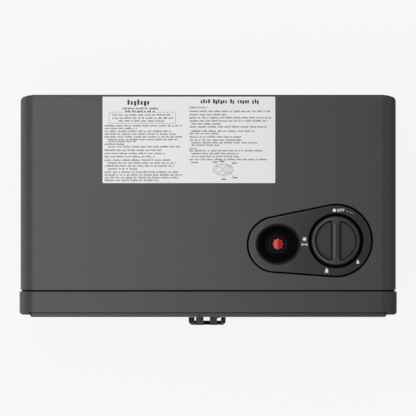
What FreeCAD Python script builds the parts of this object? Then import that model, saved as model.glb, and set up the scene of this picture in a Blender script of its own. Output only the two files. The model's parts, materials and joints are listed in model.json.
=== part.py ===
import FreeCAD, Part
import math
import os

# Portable propane water heater: a flat case that lies on four feet, with its controls in the top.
# Millimetres. X runs to the right, Y to the back, Z up. The origin is on the floor, under the
# middle of the whole object.

V = FreeCAD.Vector

# ---- Driving dimensions -------------------------------------------------------------------------
TOP_Z = 150.0                 # top of the front frame, the highest point of the case
DEPTH = 225.8                 # from the back panel to the front of the pull
REAR_Y = DEPTH / 2            # outer face of the back panel

COVER_W = 368.0               # width over the cover and the base pan
COVER_Z0, COVER_Z1 = 8.0, 149.0
COVER_EDGE_R = 14.4           # rounding of the long edges
REAR_CORNER_R = 5.5           # rounding of the two upright back corners
RIM_R = 0.7                   # small rounding of the cover's front and back rims
WALL = 2.0
PANEL_T = 1.5                 # back panel sheet
COVER_REAR_Y = REAR_Y - PANEL_T
COVER_FRONT_Y = REAR_Y - 191.3
PAN_TOP_Z = 22.0              # where the cover meets the base pan

FRAME_W = 370.0               # front frame, a little wider than the cover
FRAME_Z0, FRAME_Z1 = 7.0, TOP_Z
FRAME_EDGE_R = 15.4
SEAM = 1.5                    # open seam between cover and front frame
FRAME_REAR_Y = COVER_FRONT_Y - SEAM
FRAME_FRONT_Y = REAR_Y - 213.2
FRAME_CORNER_Y = REAR_Y - 215.4
FRAME_WEB = 3.0               # thickness of the frame's front wall
SPIGOT_T = 2.0                # lip of the frame that slides into the cover
SPIGOT_L = 6.4

DOOR_W = 349.6
DOOR_END_R = 3.0              # rounding of the door's two upright front corners
DOOR_REAR_Y = REAR_Y - 213.8
DOOR_FRONT_Y = REAR_Y - 217.7
DOOR_Z1 = 147.0
DOOR_SKIN = 1.6
DOOR_RECESS_HALF = 175.4      # half width of the step in the frame that the door closes in
HINGE_Y = (DOOR_REAR_Y + DOOR_FRONT_Y) / 2
HINGE_Z = 36.5
HINGE_R = (DOOR_REAR_Y - DOOR_FRONT_Y) / 2
HINGE_XS = (-110.0, 110.0)
HINGE_LUG_W = 10.0
PIN_R = 1.0
RUN = 0.05                    # radial play of a pin in a moving part

BAY_HALF_W = 158.0            # connection bay behind the door
BAY_Z0, BAY_Z1 = 46.0, 128.0
BAY_REAR_Y = -60.0            # front face of the bay's back wall
BAY_WALL = 2.0
PORT_Z = 64.0                 # height of the three connections
WATER_IN_X, WATER_OUT_X, GAS_IN_X = -140.0, -96.0, 132.0

PULL_X = -1.0
PULL_HALF_W = 18.15
PULL_LEG_WS = (5.75, 4.6)     # widths of the pull's left and right leg
PULL_EYE_R = 2.1
PULL_Z0 = 96.0
PULL_FRONT_Y = -REAR_Y
PULL_PIN_Y, PULL_PIN_Z = PULL_FRONT_Y + PULL_EYE_R, 118.0

KNOB = (125.0, -30.05)
KNOB_R = 24.0
KNOB_WELL_R = 27.1
KNOB_RECESS_R = 20.4
KNOB_BAR_W = 7.2
KNOB_TOP_Z, KNOB_H = 150.0, 13.0
KNOB_EDGE_R, KNOB_INNER_R = 2.9, 0.6   # rounding outside and inside the knob's rim
KNOB_RECESS_D = 6.0
CROWN_R = 7.0                 # roundness of the grip bar's top

IGNITER = (68.35, -33.4)
CUP_MOUTH = (21.3, 19.5)      # half the width and half the depth of the cup's oval mouth
CUP_FLOOR_R = 12.6
CUP_FLOOR_Z = 134.0
BUTTON_R = 5.7

PLATE_SMALL = (65.6, -33.8, 26.95)     # x, y and radius of the control panel's two ends
PLATE_LARGE = (125.25, -29.9, 35.15)
PLATE_GROOVE = 1.75           # open groove round the control panel
PLATE_T = 4.2

LABEL_X0, LABEL_X1 = -103.4, 65.6
LABEL_Y0, LABEL_Y1 = 26.4, COVER_REAR_Y - 0.4
LABEL_T = 0.2

GRIP_Y0, GRIP_Y1, GRIP_Z0, GRIP_Z1 = -15.0, 75.0, 85.0, 115.0
GRIP_DEPTH = 18.0
GRIP_BEZEL = 6.0              # width of the finger recess's rim, flush with the cover's side

CHAMBER_X0, CHAMBER_X1 = -132.0, 12.0
CHAMBER_Y0, CHAMBER_Y1 = -16.0, 100.0
CHAMBER_Z0, CHAMBER_Z1 = 42.0, 116.0
SHEET = 1.0
TUBE_ROWS_Y = (0.0, 28.0, 56.0, 84.0)
TUBE_Z = 103.0
TUBE_R, TUBE_BORE = 5.0, 4.0
FIN_PITCH, FIN_T, FIN_COUNT = 6.6, 0.6, 21
HOOD_Z1 = 141.0
GRILLE_X0, GRILLE_X1, GRILLE_Z0, GRILLE_Z1 = -132.0, 12.0, 115.0, 137.5

BURNER_COUNT, BURNER_PITCH = 8, 16.5
BURNER_X0 = -118.0
BURNER_Z = 30.0
MANIFOLD_Y = -36.0
MANIFOLD_R = 7.0
GAS_R = 4.0

FOOT_XS, FOOT_YS = (-150.0, 150.0), (-58.0, 90.0)
FOOT_R = 12.0
FLOOR_IN = COVER_Z0 + WALL    # inner floor of the base pan


# ---- Construction helpers -----------------------------------------------------------------------
def box(x0, x1, y0, y1, z0, z1):
    """Block between two corners."""
    return Part.makeBox(x1 - x0, y1 - y0, z1 - z0, V(x0, y0, z0))


def rod(point, direction, radius, length):
    """Round rod from a point along a direction."""
    return Part.makeCylinder(radius, length, V(*point), V(*direction))


def fuse(first, *others):
    """One shape out of several, without seams between flush faces."""
    return first.multiFuse(list(others)).removeSplitter()


def cut(shape, *tools):
    """The shape with every tool taken away."""
    for tool in tools:
        shape = shape.cut(tool)
    return shape


def group(shapes):
    """Separate solids that share one node."""
    return Part.makeCompound(list(shapes))


def rounded_face(u0, u1, v0, v1, r, place):
    """Rectangle with round corners; place turns (u, v) into a point in space."""
    m = r * (1.0 - math.sqrt(0.5))
    arcs = [
        ((u1 - r, v0), (u1 - m, v0 + m), (u1, v0 + r)),
        ((u1, v1 - r), (u1 - m, v1 - m), (u1 - r, v1)),
        ((u0 + r, v1), (u0 + m, v1 - m), (u0, v1 - r)),
        ((u0, v0 + r), (u0 + m, v0 + m), (u0 + r, v0)),
    ]
    edges = []
    for number, (start, middle, end) in enumerate(arcs):
        following = arcs[(number + 1) % len(arcs)][0]
        edges.append(Part.Arc(place(*start), place(*middle), place(*end)).toShape())
        edges.append(Part.LineSegment(place(*end), place(*following)).toShape())
    return Part.Face(Part.Wire(edges))


def block_x(y0, y1, z0, z1, r, x0, x1):
    """Rounded rectangle in Y and Z, carried along X."""
    return rounded_face(y0, y1, z0, z1, r, lambda u, v: V(x0, u, v)).extrude(V(x1 - x0, 0, 0))


def block_y(x0, x1, z0, z1, r, y0, y1):
    """Rounded rectangle in X and Z, carried along Y."""
    return rounded_face(x0, x1, z0, z1, r, lambda u, v: V(u, y0, v)).extrude(V(0, y1 - y0, 0))


def block_z(x0, x1, y0, y1, r, z0, z1):
    """Rounded rectangle in X and Y, carried along Z."""
    return rounded_face(x0, x1, y0, y1, r, lambda u, v: V(u, v, z0)).extrude(V(0, 0, z1 - z0))


def prism(points, direction):
    """Straight-sided outline carried along a direction."""
    corners = [V(*point) for point in points]
    return Part.Face(Part.makePolygon(corners + corners[:1])).extrude(V(*direction))


def turned(centre, profile, axis=(0, 0, 1)):
    """Closed outline of (radius, height) points turned round an axis through the centre."""
    outline = Part.Face(Part.makePolygon([V(r, 0, h) for r, h in profile + profile[:1]]))
    spun = outline.revolve(V(0, 0, 0), V(0, 0, 1), 360)
    spun.Placement = FreeCAD.Placement(V(*centre), FreeCAD.Rotation(V(0, 0, 1), V(*axis)))
    return spun


def hexagon(point, direction, across_flats, length):
    """Hexagonal bar from a point along a direction."""
    radius = across_flats / math.sqrt(3.0)
    corners = [V(radius * math.cos(k * math.pi / 3), radius * math.sin(k * math.pi / 3), 0) for k in range(6)]
    bar = Part.Face(Part.makePolygon(corners + corners[:1])).extrude(V(0, 0, length))
    bar.Placement = FreeCAD.Placement(V(*point), FreeCAD.Rotation(V(0, 0, 1), V(*direction)))
    return bar


def bent_path(points, bend_r):
    """Straight runs joined by tangent arcs of one radius."""
    corners = [V(*point) for point in points]
    edges = []
    start = corners[0]
    for before, corner, after in zip(corners, corners[1:], corners[2:]):
        arrive = (corner - before).normalize()
        leave = (after - corner).normalize()
        half_turn = arrive.getAngle(leave) / 2
        setback = bend_r * math.tan(half_turn)
        arc_start = corner - arrive * setback
        arc_end = corner + leave * setback
        inward = (leave - arrive).normalize()
        arc_middle = corner + inward * (bend_r / math.cos(half_turn) - bend_r)
        edges.append(Part.LineSegment(start, arc_start).toShape())
        edges.append(Part.Arc(arc_start, arc_middle, arc_end).toShape())
        start = arc_end
    edges.append(Part.LineSegment(start, corners[-1]).toShape())
    return Part.Wire(edges)


def solid_pipe(points, bend_r, radius):
    """Round bar along a bent path."""
    path = bent_path(points, bend_r)
    direction = V(*points[1]) - V(*points[0])
    section = Part.Wire(Part.Circle(V(*points[0]), direction, radius).toShape())
    return path.makePipeShell([section], True, True)


def pipe(points, bend_r, radius, bore):
    """Hollow tube along a bent path."""
    return solid_pipe(points, bend_r, radius).cut(solid_pipe(points, bend_r, bore))


def coil_spring(centre, z0, z1, radius, wire_r, turns):
    """Compression spring standing on z0."""
    height = z1 - z0 - 2 * wire_r
    helix = Part.makeHelix(height / turns, height, radius)
    section = Part.Wire(Part.Circle(V(radius, 0, 0), V(0, 1, 0), wire_r).toShape())
    spring = Part.Wire(helix).makePipeShell([section], True, True)
    spring.translate(V(centre[0], centre[1], z0 + wire_r))
    return spring


def screw(point, direction, head_r, head_h, shank_r, shank_l):
    """Flat-headed screw with a cross slot; the point is the middle of the head's outer face."""
    slot_w, slot_l, slot_d = 0.28 * head_r, 1.3 * head_r, 0.55 * head_h
    body = fuse(rod((0, 0, 0), (0, 0, 1), head_r, head_h), rod((0, 0, head_h), (0, 0, 1), shank_r, shank_l))
    body = cut(
        body,
        box(-slot_l / 2, slot_l / 2, -slot_w / 2, slot_w / 2, 0, slot_d),
        box(-slot_w / 2, slot_w / 2, -slot_l / 2, slot_l / 2, 0, slot_d),
    )
    body.Placement = FreeCAD.Placement(V(*point), FreeCAD.Rotation(V(0, 0, 1), V(*direction)))
    return body


def screw_hole(point, direction, head_r, head_h, shank_r, shank_l):
    """Counterbored hole that such a screw fills."""
    return fuse(
        rod(point, direction, head_r, head_h),
        rod(V(*point) + V(*direction) * head_h, direction, shank_r, shank_l),
    )


# ---- Case ---------------------------------------------------------------------------------------
PANEL_HALF_W, PANEL_Z0, PANEL_Z1 = 178.4, 24.0, 145.0
PANEL_TAPER = (7.4, 0.9)      # length and drop of the panel's tapered ends
PANEL_SCREW = (3.0, PANEL_T, 1.3, 5.0)        # head radius, head height, shank radius, shank length
PANEL_SCREWS = [(x, z) for z in (27.8, 141.3) for x in (-155.0, -52.0, 52.0, 155.0)]
PANEL_SCREWS += [(x, 84.0) for x in (-167.0, 167.0)]
SIDE_SCREW = (3.0, 1.2, 1.3, 3.0)
SIDE_SCREW_Z = 28.0
SIDE_SCREW_YS = (-50.0, 20.0, 90.0)
BAY_SCREW = (2.8, 1.5, 1.3, 5.0)
BAY_SCREWS = [(x, z) for x in (-167.5, 167.5) for z in (58.0, 116.0)]
MAGNETS = [(-60.0, 139.5), (60.0, 139.5)]
MAGNET_R, MAGNET_BACK_R, MAGNET_BACK_T = 4.0, 5.0, 2.0
FOOT_SCREW_R, FOOT_SCREW_HEAD_R = 2.0, 4.0


def envelope(inset, front_y):
    """Outer form of cover and pan together, taken in by an inset and cut off at front_y."""
    half = COVER_W / 2 - inset
    rear = COVER_REAR_Y - inset
    z0, z1 = COVER_Z0 + inset, COVER_Z1 - inset
    profile = block_y(-half, half, z0, z1, COVER_EDGE_R - inset, front_y, rear)
    plan = block_z(-half, half, front_y - 50, rear, REAR_CORNER_R - inset, 0, TOP_Z + 10)
    return profile.common(plan)


def case_shell():
    """Cover and pan in one piece, with its front and back rims rounded off."""
    solid = envelope(0.0, COVER_FRONT_Y)
    half = COVER_W / 2
    solid = solid.common(block_x(COVER_FRONT_Y - 50, COVER_REAR_Y, COVER_Z0, COVER_Z1, RIM_R, -half, half))
    front_rim = [e for e in solid.Edges if e.BoundBox.YMax < COVER_FRONT_Y + 0.01]
    return solid.makeFillet(RIM_R, front_rim).cut(envelope(WALL, COVER_FRONT_Y - 1))


def control_outline(offset, z0, z1):
    """Teardrop of two arcs and the straight lines that touch both, grown by an offset."""
    (x0, y0, r0), (x1, y1, r1) = PLATE_SMALL, PLATE_LARGE
    r0, r1 = r0 + offset, r1 + offset
    heading = math.atan2(y1 - y0, x1 - x0)
    spread = math.acos((r0 - r1) / math.hypot(x1 - x0, y1 - y0))

    def on_arc(x, y, r, angle):
        return V(x + r * math.cos(angle), y + r * math.sin(angle), z0)

    small_up, small_low = (on_arc(x0, y0, r0, heading + side * spread) for side in (1, -1))
    large_up, large_low = (on_arc(x1, y1, r1, heading + side * spread) for side in (1, -1))
    edges = [
        Part.Arc(small_up, on_arc(x0, y0, r0, heading + math.pi), small_low).toShape(),
        Part.LineSegment(small_low, large_low).toShape(),
        Part.Arc(large_low, on_arc(x1, y1, r1, heading), large_up).toShape(),
        Part.LineSegment(large_up, small_up).toShape(),
    ]
    return Part.Face(Part.Wire(edges)).extrude(V(0, 0, z1 - z0))


def grip_opening(side, inset, depth):
    """Finger recess in one side wall; side is -1 on the left, 1 on the right. A negative inset grows it."""
    outside = COVER_W / 2
    x0, x1 = sorted((side * (outside - depth), side * outside))
    radius = 12.0 - inset
    return block_x(GRIP_Y0 + inset, GRIP_Y1 - inset, GRIP_Z0 + inset, GRIP_Z1 - inset, radius, x0, x1)


def side_screw_places():
    """Start point and direction of each screw through the cover's skirt."""
    return [((s * COVER_W / 2, y, SIDE_SCREW_Z), (-s, 0, 0)) for s in (-1, 1) for y in SIDE_SCREW_YS]


def upper_cover():
    """Top, sides and back rim in one moulding, open at the bottom and the front."""
    shell = case_shell()
    below = box(-200, 200, -150, 150, 0, PAN_TOP_Z + 0.2)
    rear_opening = block_y(-160.0, 160.0, 32.0, 138.0, 8.0, COVER_REAR_Y - WALL - 1, COVER_REAR_Y + 1)
    controls = control_outline(PLATE_GROOVE / 2, COVER_Z1 - WALL - 1, COVER_Z1 + 1)
    shell = cut(shell, below, rear_opening, controls)
    rim = [e for e in shell.Edges if e.BoundBox.ZMin > COVER_Z1 - 0.01 and e.BoundBox.XMin > 30.0
           and -75.0 < e.BoundBox.YMin and e.BoundBox.YMax < 20.0]
    shell = shell.makeFillet(0.5, rim)
    for side in (-1, 1):
        shell = shell.cut(grip_opening(side, -GRIP_BEZEL, WALL + 1))
    for x, z in PANEL_SCREWS:
        shell = shell.cut(rod((x, COVER_REAR_Y + 1, z), (0, -1, 0), PANEL_SCREW[2], 5))
    for point, direction in side_screw_places():
        shell = shell.cut(screw_hole(point, direction, *SIDE_SCREW))
    return shell


def base_pan():
    """Bottom tray with an upright tongue inside the cover's skirt, air slots and foot holes."""
    tray = case_shell().common(box(-200, 200, -150, 150, 0, PAN_TOP_Z - 0.2))
    tongue = envelope(WALL + 0.2, COVER_FRONT_Y + SPIGOT_L + 1).cut(envelope(WALL + 2.0, -150))
    front_y, top_z = COVER_FRONT_Y + SPIGOT_L + 1, SIDE_SCREW_Z + 5
    tongue = tongue.common(box(-200, 200, front_y, REAR_Y - 40, FLOOR_IN + 4, top_z))
    rim = envelope(WALL, front_y).cut(envelope(WALL + 2.0, -150))
    rim = rim.common(box(-200, 200, front_y, REAR_Y - 40, FLOOR_IN + 2, PAN_TOP_Z - 2))
    tray = fuse(tray, tongue, rim)
    for column in range(BURNER_COUNT):
        x = BURNER_X0 + column * BURNER_PITCH
        for y0 in (6.0, 50.0):
            tray = tray.cut(block_z(x - 3.0, x + 3.0, y0, y0 + 34.0, 2.9, 0, FLOOR_IN + 1))
    for x in FOOT_XS:
        for y in FOOT_YS:
            tray = tray.cut(rod((x, y, 0), (0, 0, 1), FOOT_SCREW_R, FLOOR_IN + 1))
    for point, direction in side_screw_places():
        tray = tray.cut(screw_hole(point, direction, *SIDE_SCREW))
    return tray.cut(rod((DRAIN[0], DRAIN[1], 0), (0, 0, 1), 8.0, FLOOR_IN + 1))


def rear_panel():
    """Flat sheet over the back, with the flue opening and two rows of air slots."""
    half = PANEL_HALF_W
    flat, drop = half - PANEL_TAPER[0], PANEL_TAPER[1]
    plan = [(-half, COVER_REAR_Y, 0), (half, COVER_REAR_Y, 0), (half, REAR_Y - drop, 0), (flat, REAR_Y, 0),
            (-flat, REAR_Y, 0), (-half, REAR_Y - drop, 0)]
    sheet = block_y(-half, half, PANEL_Z0, PANEL_Z1, 9.0, COVER_REAR_Y, REAR_Y)
    sheet = sheet.common(prism(plan, (0, 0, TOP_Z)))
    y0, y1 = COVER_REAR_Y - 1, REAR_Y + 1
    sheet = sheet.cut(block_y(GRILLE_X0, GRILLE_X1, GRILLE_Z0, GRILLE_Z1, 4.0, y0, y1))
    for row in range(4):
        z = 40.0 + 11.0 * row
        for x0 in (-140.0, -70.0, 6.0, 76.0):
            sheet = sheet.cut(block_y(x0, x0 + 62.0, z, z + 4.5, 2.2, y0, y1))
    for x, z in PANEL_SCREWS:
        sheet = sheet.cut(rod((x, REAR_Y + 1, z), (0, -1, 0), PANEL_SCREW[0], PANEL_T + 2))
    return sheet


def exhaust_grille():
    """Frame with sloping blades that fills the flue opening of the back panel."""
    x0, x1, z0, z1 = GRILLE_X0, GRILLE_X1, GRILLE_Z0, GRILLE_Z1
    rear = REAR_Y - 0.1
    front = COVER_REAR_Y - 5.0
    frame = block_y(x0 + 0.1, x1 - 0.1, z0 + 0.1, z1 - 0.1, 3.9, front, rear)
    frame = frame.cut(block_y(x0 + 2.5, x1 - 2.5, z0 + 2.0, z1 - 2.0, 2.5, front - 1, rear + 1))
    blades = []
    for number in range(5):
        z = z0 + 4.0 + number * 4.1
        points = [(x0 + 2, rear, z - 1.8), (x0 + 2, rear, z - 0.9),
                  (x0 + 2, front, z + 2.6), (x0 + 2, front, z + 1.7)]
        blades.append(prism(points, (x1 - x0 - 4, 0, 0)))
    posts = [box(x - 0.6, x + 0.6, front, rear - 1.5, z0 + 1, z1 - 1) for x in (x0 + 48.0, x1 - 48.0)]
    return fuse(frame, *blades, *posts)


def front_frame():
    """Frame round the front, with a lip inside the cover and a step that the door closes in."""
    half = FRAME_W / 2
    ring = block_y(-half, half, FRAME_Z0, FRAME_Z1, FRAME_EDGE_R, FRAME_CORNER_Y, FRAME_REAR_Y)
    ring = ring.common(block_z(-half, half, FRAME_CORNER_Y, 50, 3.5, 0, TOP_Z + 1))
    back_edges = [e for e in ring.Edges if e.BoundBox.YMin > FRAME_REAR_Y - 0.01]
    ring = ring.makeFillet(0.7, back_edges)
    step = DOOR_RECESS_HALF
    ring = ring.cut(box(-step, step, FRAME_CORNER_Y - 1, FRAME_FRONT_Y, 0, TOP_Z + 1))
    gap = WALL + 0.3
    lip_half = COVER_W / 2 - gap
    lip_r = COVER_EDGE_R - gap
    z0, z1 = COVER_Z0 + gap, COVER_Z1 - gap
    lip = block_y(-lip_half, lip_half, z0, z1, lip_r, FRAME_REAR_Y - 3, COVER_FRONT_Y + SPIGOT_L)
    hollow_half = lip_half - SPIGOT_T
    hollow = block_y(
        -hollow_half, hollow_half, z0 + SPIGOT_T, z1 - SPIGOT_T, lip_r - SPIGOT_T,
        FRAME_FRONT_Y + FRAME_WEB, COVER_FRONT_Y + SPIGOT_L + 1,
    )
    body = fuse(ring, lip).cut(hollow)
    front, back = FRAME_CORNER_Y - 1, FRAME_FRONT_Y + FRAME_WEB + 1
    body = body.cut(block_y(-BAY_HALF_W, BAY_HALF_W, BAY_Z0, BAY_Z1, 6.0, front, back))
    for x in HINGE_XS:
        half_lug = HINGE_LUG_W / 2
        low, high = HINGE_Z - HINGE_R, HINGE_Z + HINGE_R
        web = box(x - half_lug, x + half_lug, HINGE_Y, FRAME_FRONT_Y + 1, low, high)
        barrel = rod((x - half_lug, HINGE_Y, HINGE_Z), (1, 0, 0), HINGE_R, HINGE_LUG_W)
        body = fuse(body, web, barrel)
        body = body.cut(rod((x - 20, HINGE_Y, HINGE_Z), (1, 0, 0), PIN_R, 40))
    for x, z in BAY_SCREWS:
        body = body.cut(screw_hole((x, FRAME_FRONT_Y, z), (0, 1, 0), *BAY_SCREW))
    for x, z in MAGNETS:
        body = body.cut(rod((x, FRAME_FRONT_Y - 1, z), (0, 1, 0), MAGNET_R, FRAME_WEB + 2))
    return body


def seam_gasket():
    """Black strip at the bottom of the seam between cover and front frame."""
    ring = envelope(WALL - 0.6, FRAME_REAR_Y).cut(envelope(WALL + 0.3, FRAME_REAR_Y - 1))
    return ring.common(box(-200, 200, FRAME_REAR_Y, COVER_FRONT_Y, 0, TOP_Z))


def connection_bay():
    """Open box behind the door; its back wall carries the water and gas connections."""
    front, rear = FRAME_FRONT_Y + FRAME_WEB, BAY_REAR_Y + BAY_WALL
    half, wall = BAY_HALF_W, BAY_WALL
    tray = block_y(-half - wall, half + wall, BAY_Z0 - wall, BAY_Z1 + wall, 8.0, front, rear)
    flange = block_y(-173.0, 173.0, BAY_Z0 - 8, BAY_Z1 + 6, 10.0, front, front + wall)
    tray = fuse(tray, flange)
    tray = tray.cut(block_y(-half, half, BAY_Z0, BAY_Z1, 6.0, front - 1, BAY_REAR_Y))
    for x in (WATER_IN_X, WATER_OUT_X, GAS_IN_X):
        tray = tray.cut(rod((x, BAY_REAR_Y - 1, PORT_Z), (0, 1, 0), PORT_NECK_R, BAY_WALL + 2))
    for x, z in BAY_SCREWS:
        tray = tray.cut(rod((x, front - 1, z), (0, 1, 0), BAY_SCREW[2], wall + 2))
    return tray


def grip_cup(side):
    """Moulded finger recess whose flat rim fills the larger hole in a side wall."""
    wall = 1.5
    outside = fuse(grip_opening(side, -GRIP_BEZEL, WALL), grip_opening(side, 0.0, GRIP_DEPTH))
    return outside.cut(grip_opening(side, wall, GRIP_DEPTH - wall))


def foot(x, y):
    """Rubber foot with a sunk screw hole."""
    low_r = FOOT_R - 2.0
    body = turned((x, y, 0), [(0, 0), (low_r, 0), (FOOT_R - 1.0, 1.0), (FOOT_R, COVER_Z0), (0, COVER_Z0)])
    return cut(
        body,
        rod((x, y, 0), (0, 0, 1), FOOT_SCREW_HEAD_R + 0.8, 4.0),
        rod((x, y, 0), (0, 0, 1), FOOT_SCREW_R, COVER_Z0 + 1),
    )


def foot_screw(x, y):
    """Screw that holds a foot to the pan."""
    return screw((x, y, 1.6), (0, 0, 1), FOOT_SCREW_HEAD_R, 2.4, FOOT_SCREW_R, FLOOR_IN)


def case_screws():
    """Screws of the back panel and of the cover's skirt."""
    screws = [screw((x, REAR_Y - 0.05, z), (0, -1, 0), PANEL_SCREW[0], PANEL_T - 0.05, *PANEL_SCREW[2:])
              for x, z in PANEL_SCREWS]
    return screws + [screw(point, direction, *SIDE_SCREW) for point, direction in side_screw_places()]


# ---- Door and pull ------------------------------------------------------------------------------
BRACKET_Z0, BRACKET_Z1, BRACKET_T = 108.0, 128.0, 1.3
BRACKET_HALF_W = 13.5
PLATE_SEAT_Y = DOOR_FRONT_Y + DOOR_SKIN       # inner face of the door's skin
LUGS = ((-11.1, -3.6), (2.6, 9.6))            # left and right side of each lug, from the pull's middle
LUG_PLAY = 0.15
BRACKET_GRIP = 1.1            # how far a bracket screw goes into the door's skin
BRACKET_SCREW = (2.2, 0.8, 1.0, BRACKET_T + BRACKET_GRIP)
BRACKET_SCREW_ZS = (111.0, 125.0)
STRIKE_R, STRIKE_T = 5.0, 1.2
HINGE_PIN_L = 24.0


def front_door():
    """Drop-down door: a shallow pan with ribs, round ends and round upper and lower edges."""
    half = DOOR_W / 2
    plate = block_z(-half, half, DOOR_FRONT_Y, DOOR_REAR_Y + 10, DOOR_END_R, HINGE_Z, DOOR_Z1)
    plate = plate.common(box(-half, half, DOOR_FRONT_Y, DOOR_REAR_Y, HINGE_Z, DOOR_Z1))
    plate = plate.common(block_y(-half, half, HINGE_Z - 30, DOOR_Z1, 2.5, DOOR_FRONT_Y - 1, DOOR_REAR_Y + 1))
    plate = plate.common(block_x(DOOR_FRONT_Y, DOOR_REAR_Y + 10, HINGE_Z - 30, DOOR_Z1, 1.7, -half, half))
    pocket_y = (DOOR_FRONT_Y + DOOR_SKIN, DOOR_REAR_Y + 1)
    pocket = block_y(-half + 3.5, half - 3.5, 40.5, DOOR_Z1 - 2, 5.0, *pocket_y)
    edge = rod((-half + DOOR_END_R, HINGE_Y, HINGE_Z), (1, 0, 0), HINGE_R, DOOR_W - 2 * DOOR_END_R)
    ribs = [box(x - 0.8, x + 0.8, DOOR_FRONT_Y + 0.5, DOOR_REAR_Y - 0.4, BAY_Z0 + 6, BAY_Z1 - 6)
            for x in (-120.0, -80.0, -40.0, 40.0, 80.0, 120.0)]
    door = fuse(plate.cut(pocket), edge, *ribs)
    for x in HINGE_XS:
        half_gap = HINGE_LUG_W / 2 + 0.5
        top = HINGE_Z + HINGE_R + 0.6
        door = door.cut(box(x - half_gap, x + half_gap, DOOR_FRONT_Y - 1, DOOR_REAR_Y + 1, HINGE_Z - 3, top))
        door = door.cut(rod((x - HINGE_PIN_L / 2, HINGE_Y, HINGE_Z), (1, 0, 0), PIN_R + RUN, HINGE_PIN_L))
    for z in BRACKET_SCREW_ZS:
        door = door.cut(rod((PULL_X, PLATE_SEAT_Y + 1, z), (0, -1, 0), BRACKET_SCREW[2], BRACKET_GRIP + 1))
    for x0, x1 in LUGS:
        low, high = PULL_PIN_Z - PULL_EYE_R - LUG_PLAY, PULL_PIN_Z + PULL_EYE_R + LUG_PLAY
        front, rear = DOOR_FRONT_Y - 1, DOOR_FRONT_Y + DOOR_SKIN + 1
        door = door.cut(box(PULL_X + x0 - LUG_PLAY, PULL_X + x1 + LUG_PLAY, front, rear, low, high))
    return door.cut(rod((-8.7, HINGE_Y - 0.7, DOOR_Z1 + 1), (0, 0, -1), 0.7, 4))


def hinge_pin(x):
    """Pin pressed into a lug of the frame; the door turns on its two ends."""
    return rod((x - HINGE_PIN_L / 2 + 0.3, HINGE_Y, HINGE_Z), (1, 0, 0), PIN_R, HINGE_PIN_L - 0.6)


def door_seal():
    """Soft strip on the door that meets the frame round the bay."""
    x_in, x_out = BAY_HALF_W + 2.0, BAY_HALF_W + 5.0
    front, rear = DOOR_FRONT_Y + DOOR_SKIN, FRAME_FRONT_Y - 0.35
    ring = block_y(-x_out, x_out, BAY_Z0 - 5.0, BAY_Z1 + 5.5, 8.0, front, rear)
    return ring.cut(block_y(-x_in, x_in, BAY_Z0 - 2.5, BAY_Z1 + 2.5, 6.0, front - 1, rear + 1))


def door_magnet(x, z):
    """Magnet held in the frame's front wall by a wider back."""
    face = rod((x, FRAME_FRONT_Y, z), (0, 1, 0), MAGNET_R, FRAME_WEB)
    back = rod((x, FRAME_FRONT_Y + FRAME_WEB, z), (0, 1, 0), MAGNET_BACK_R, MAGNET_BACK_T)
    return fuse(face, back)


def strike_plate(x, z):
    """Steel disc on the door opposite a magnet."""
    return rod((x, DOOR_FRONT_Y + DOOR_SKIN, z), (0, 1, 0), STRIKE_R, STRIKE_T)


def pull_bracket():
    """Plate inside the door with two lugs that stand out through its skin and hold the pull's pins."""
    x0, x1 = PULL_X - BRACKET_HALF_W, PULL_X + BRACKET_HALF_W
    plate = block_y(x0, x1, BRACKET_Z0, BRACKET_Z1, 2.5, PLATE_SEAT_Y, PLATE_SEAT_Y + BRACKET_T)
    low, high = PULL_PIN_Z - PULL_EYE_R, PULL_PIN_Z + PULL_EYE_R
    lugs = []
    for x0, x1 in LUGS:
        x0, x1 = PULL_X + x0, PULL_X + x1
        lugs.append(box(x0, x1, PULL_PIN_Y, PLATE_SEAT_Y + 0.5, low, high))
        lugs.append(rod((x0, PULL_PIN_Y, PULL_PIN_Z), (1, 0, 0), PULL_EYE_R, x1 - x0))
    lug_side, foot_y = PULL_X + LUGS[1][1], DOOR_FRONT_Y - 0.1
    shoulder = [(lug_side - 0.5, foot_y, low), (lug_side + 3.5, foot_y, low),
                (lug_side + 3.5, foot_y - 0.6, low), (lug_side + 2.6, foot_y - 1.1, low),
                (lug_side + 0.9, foot_y - 1.1, low), (lug_side, foot_y - 2.2, low),
                (lug_side - 0.5, foot_y - 2.2, low)]
    lugs.append(prism(shoulder, (0, 0, high - low)))
    bracket = fuse(plate, *lugs).cut(rod((-50, PULL_PIN_Y, PULL_PIN_Z), (1, 0, 0), PIN_R, 100))
    for z in BRACKET_SCREW_ZS:
        bracket = bracket.cut(rod((PULL_X, PLATE_SEAT_Y - 1, z), (0, 1, 0), BRACKET_SCREW[2], BRACKET_T + 2))
    return bracket


def bracket_screw(z):
    """Screw from inside the door through the bracket's plate into the door's skin."""
    return screw((PULL_X, PLATE_SEAT_Y + BRACKET_T + BRACKET_SCREW[1], z), (0, -1, 0), *BRACKET_SCREW)


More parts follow.
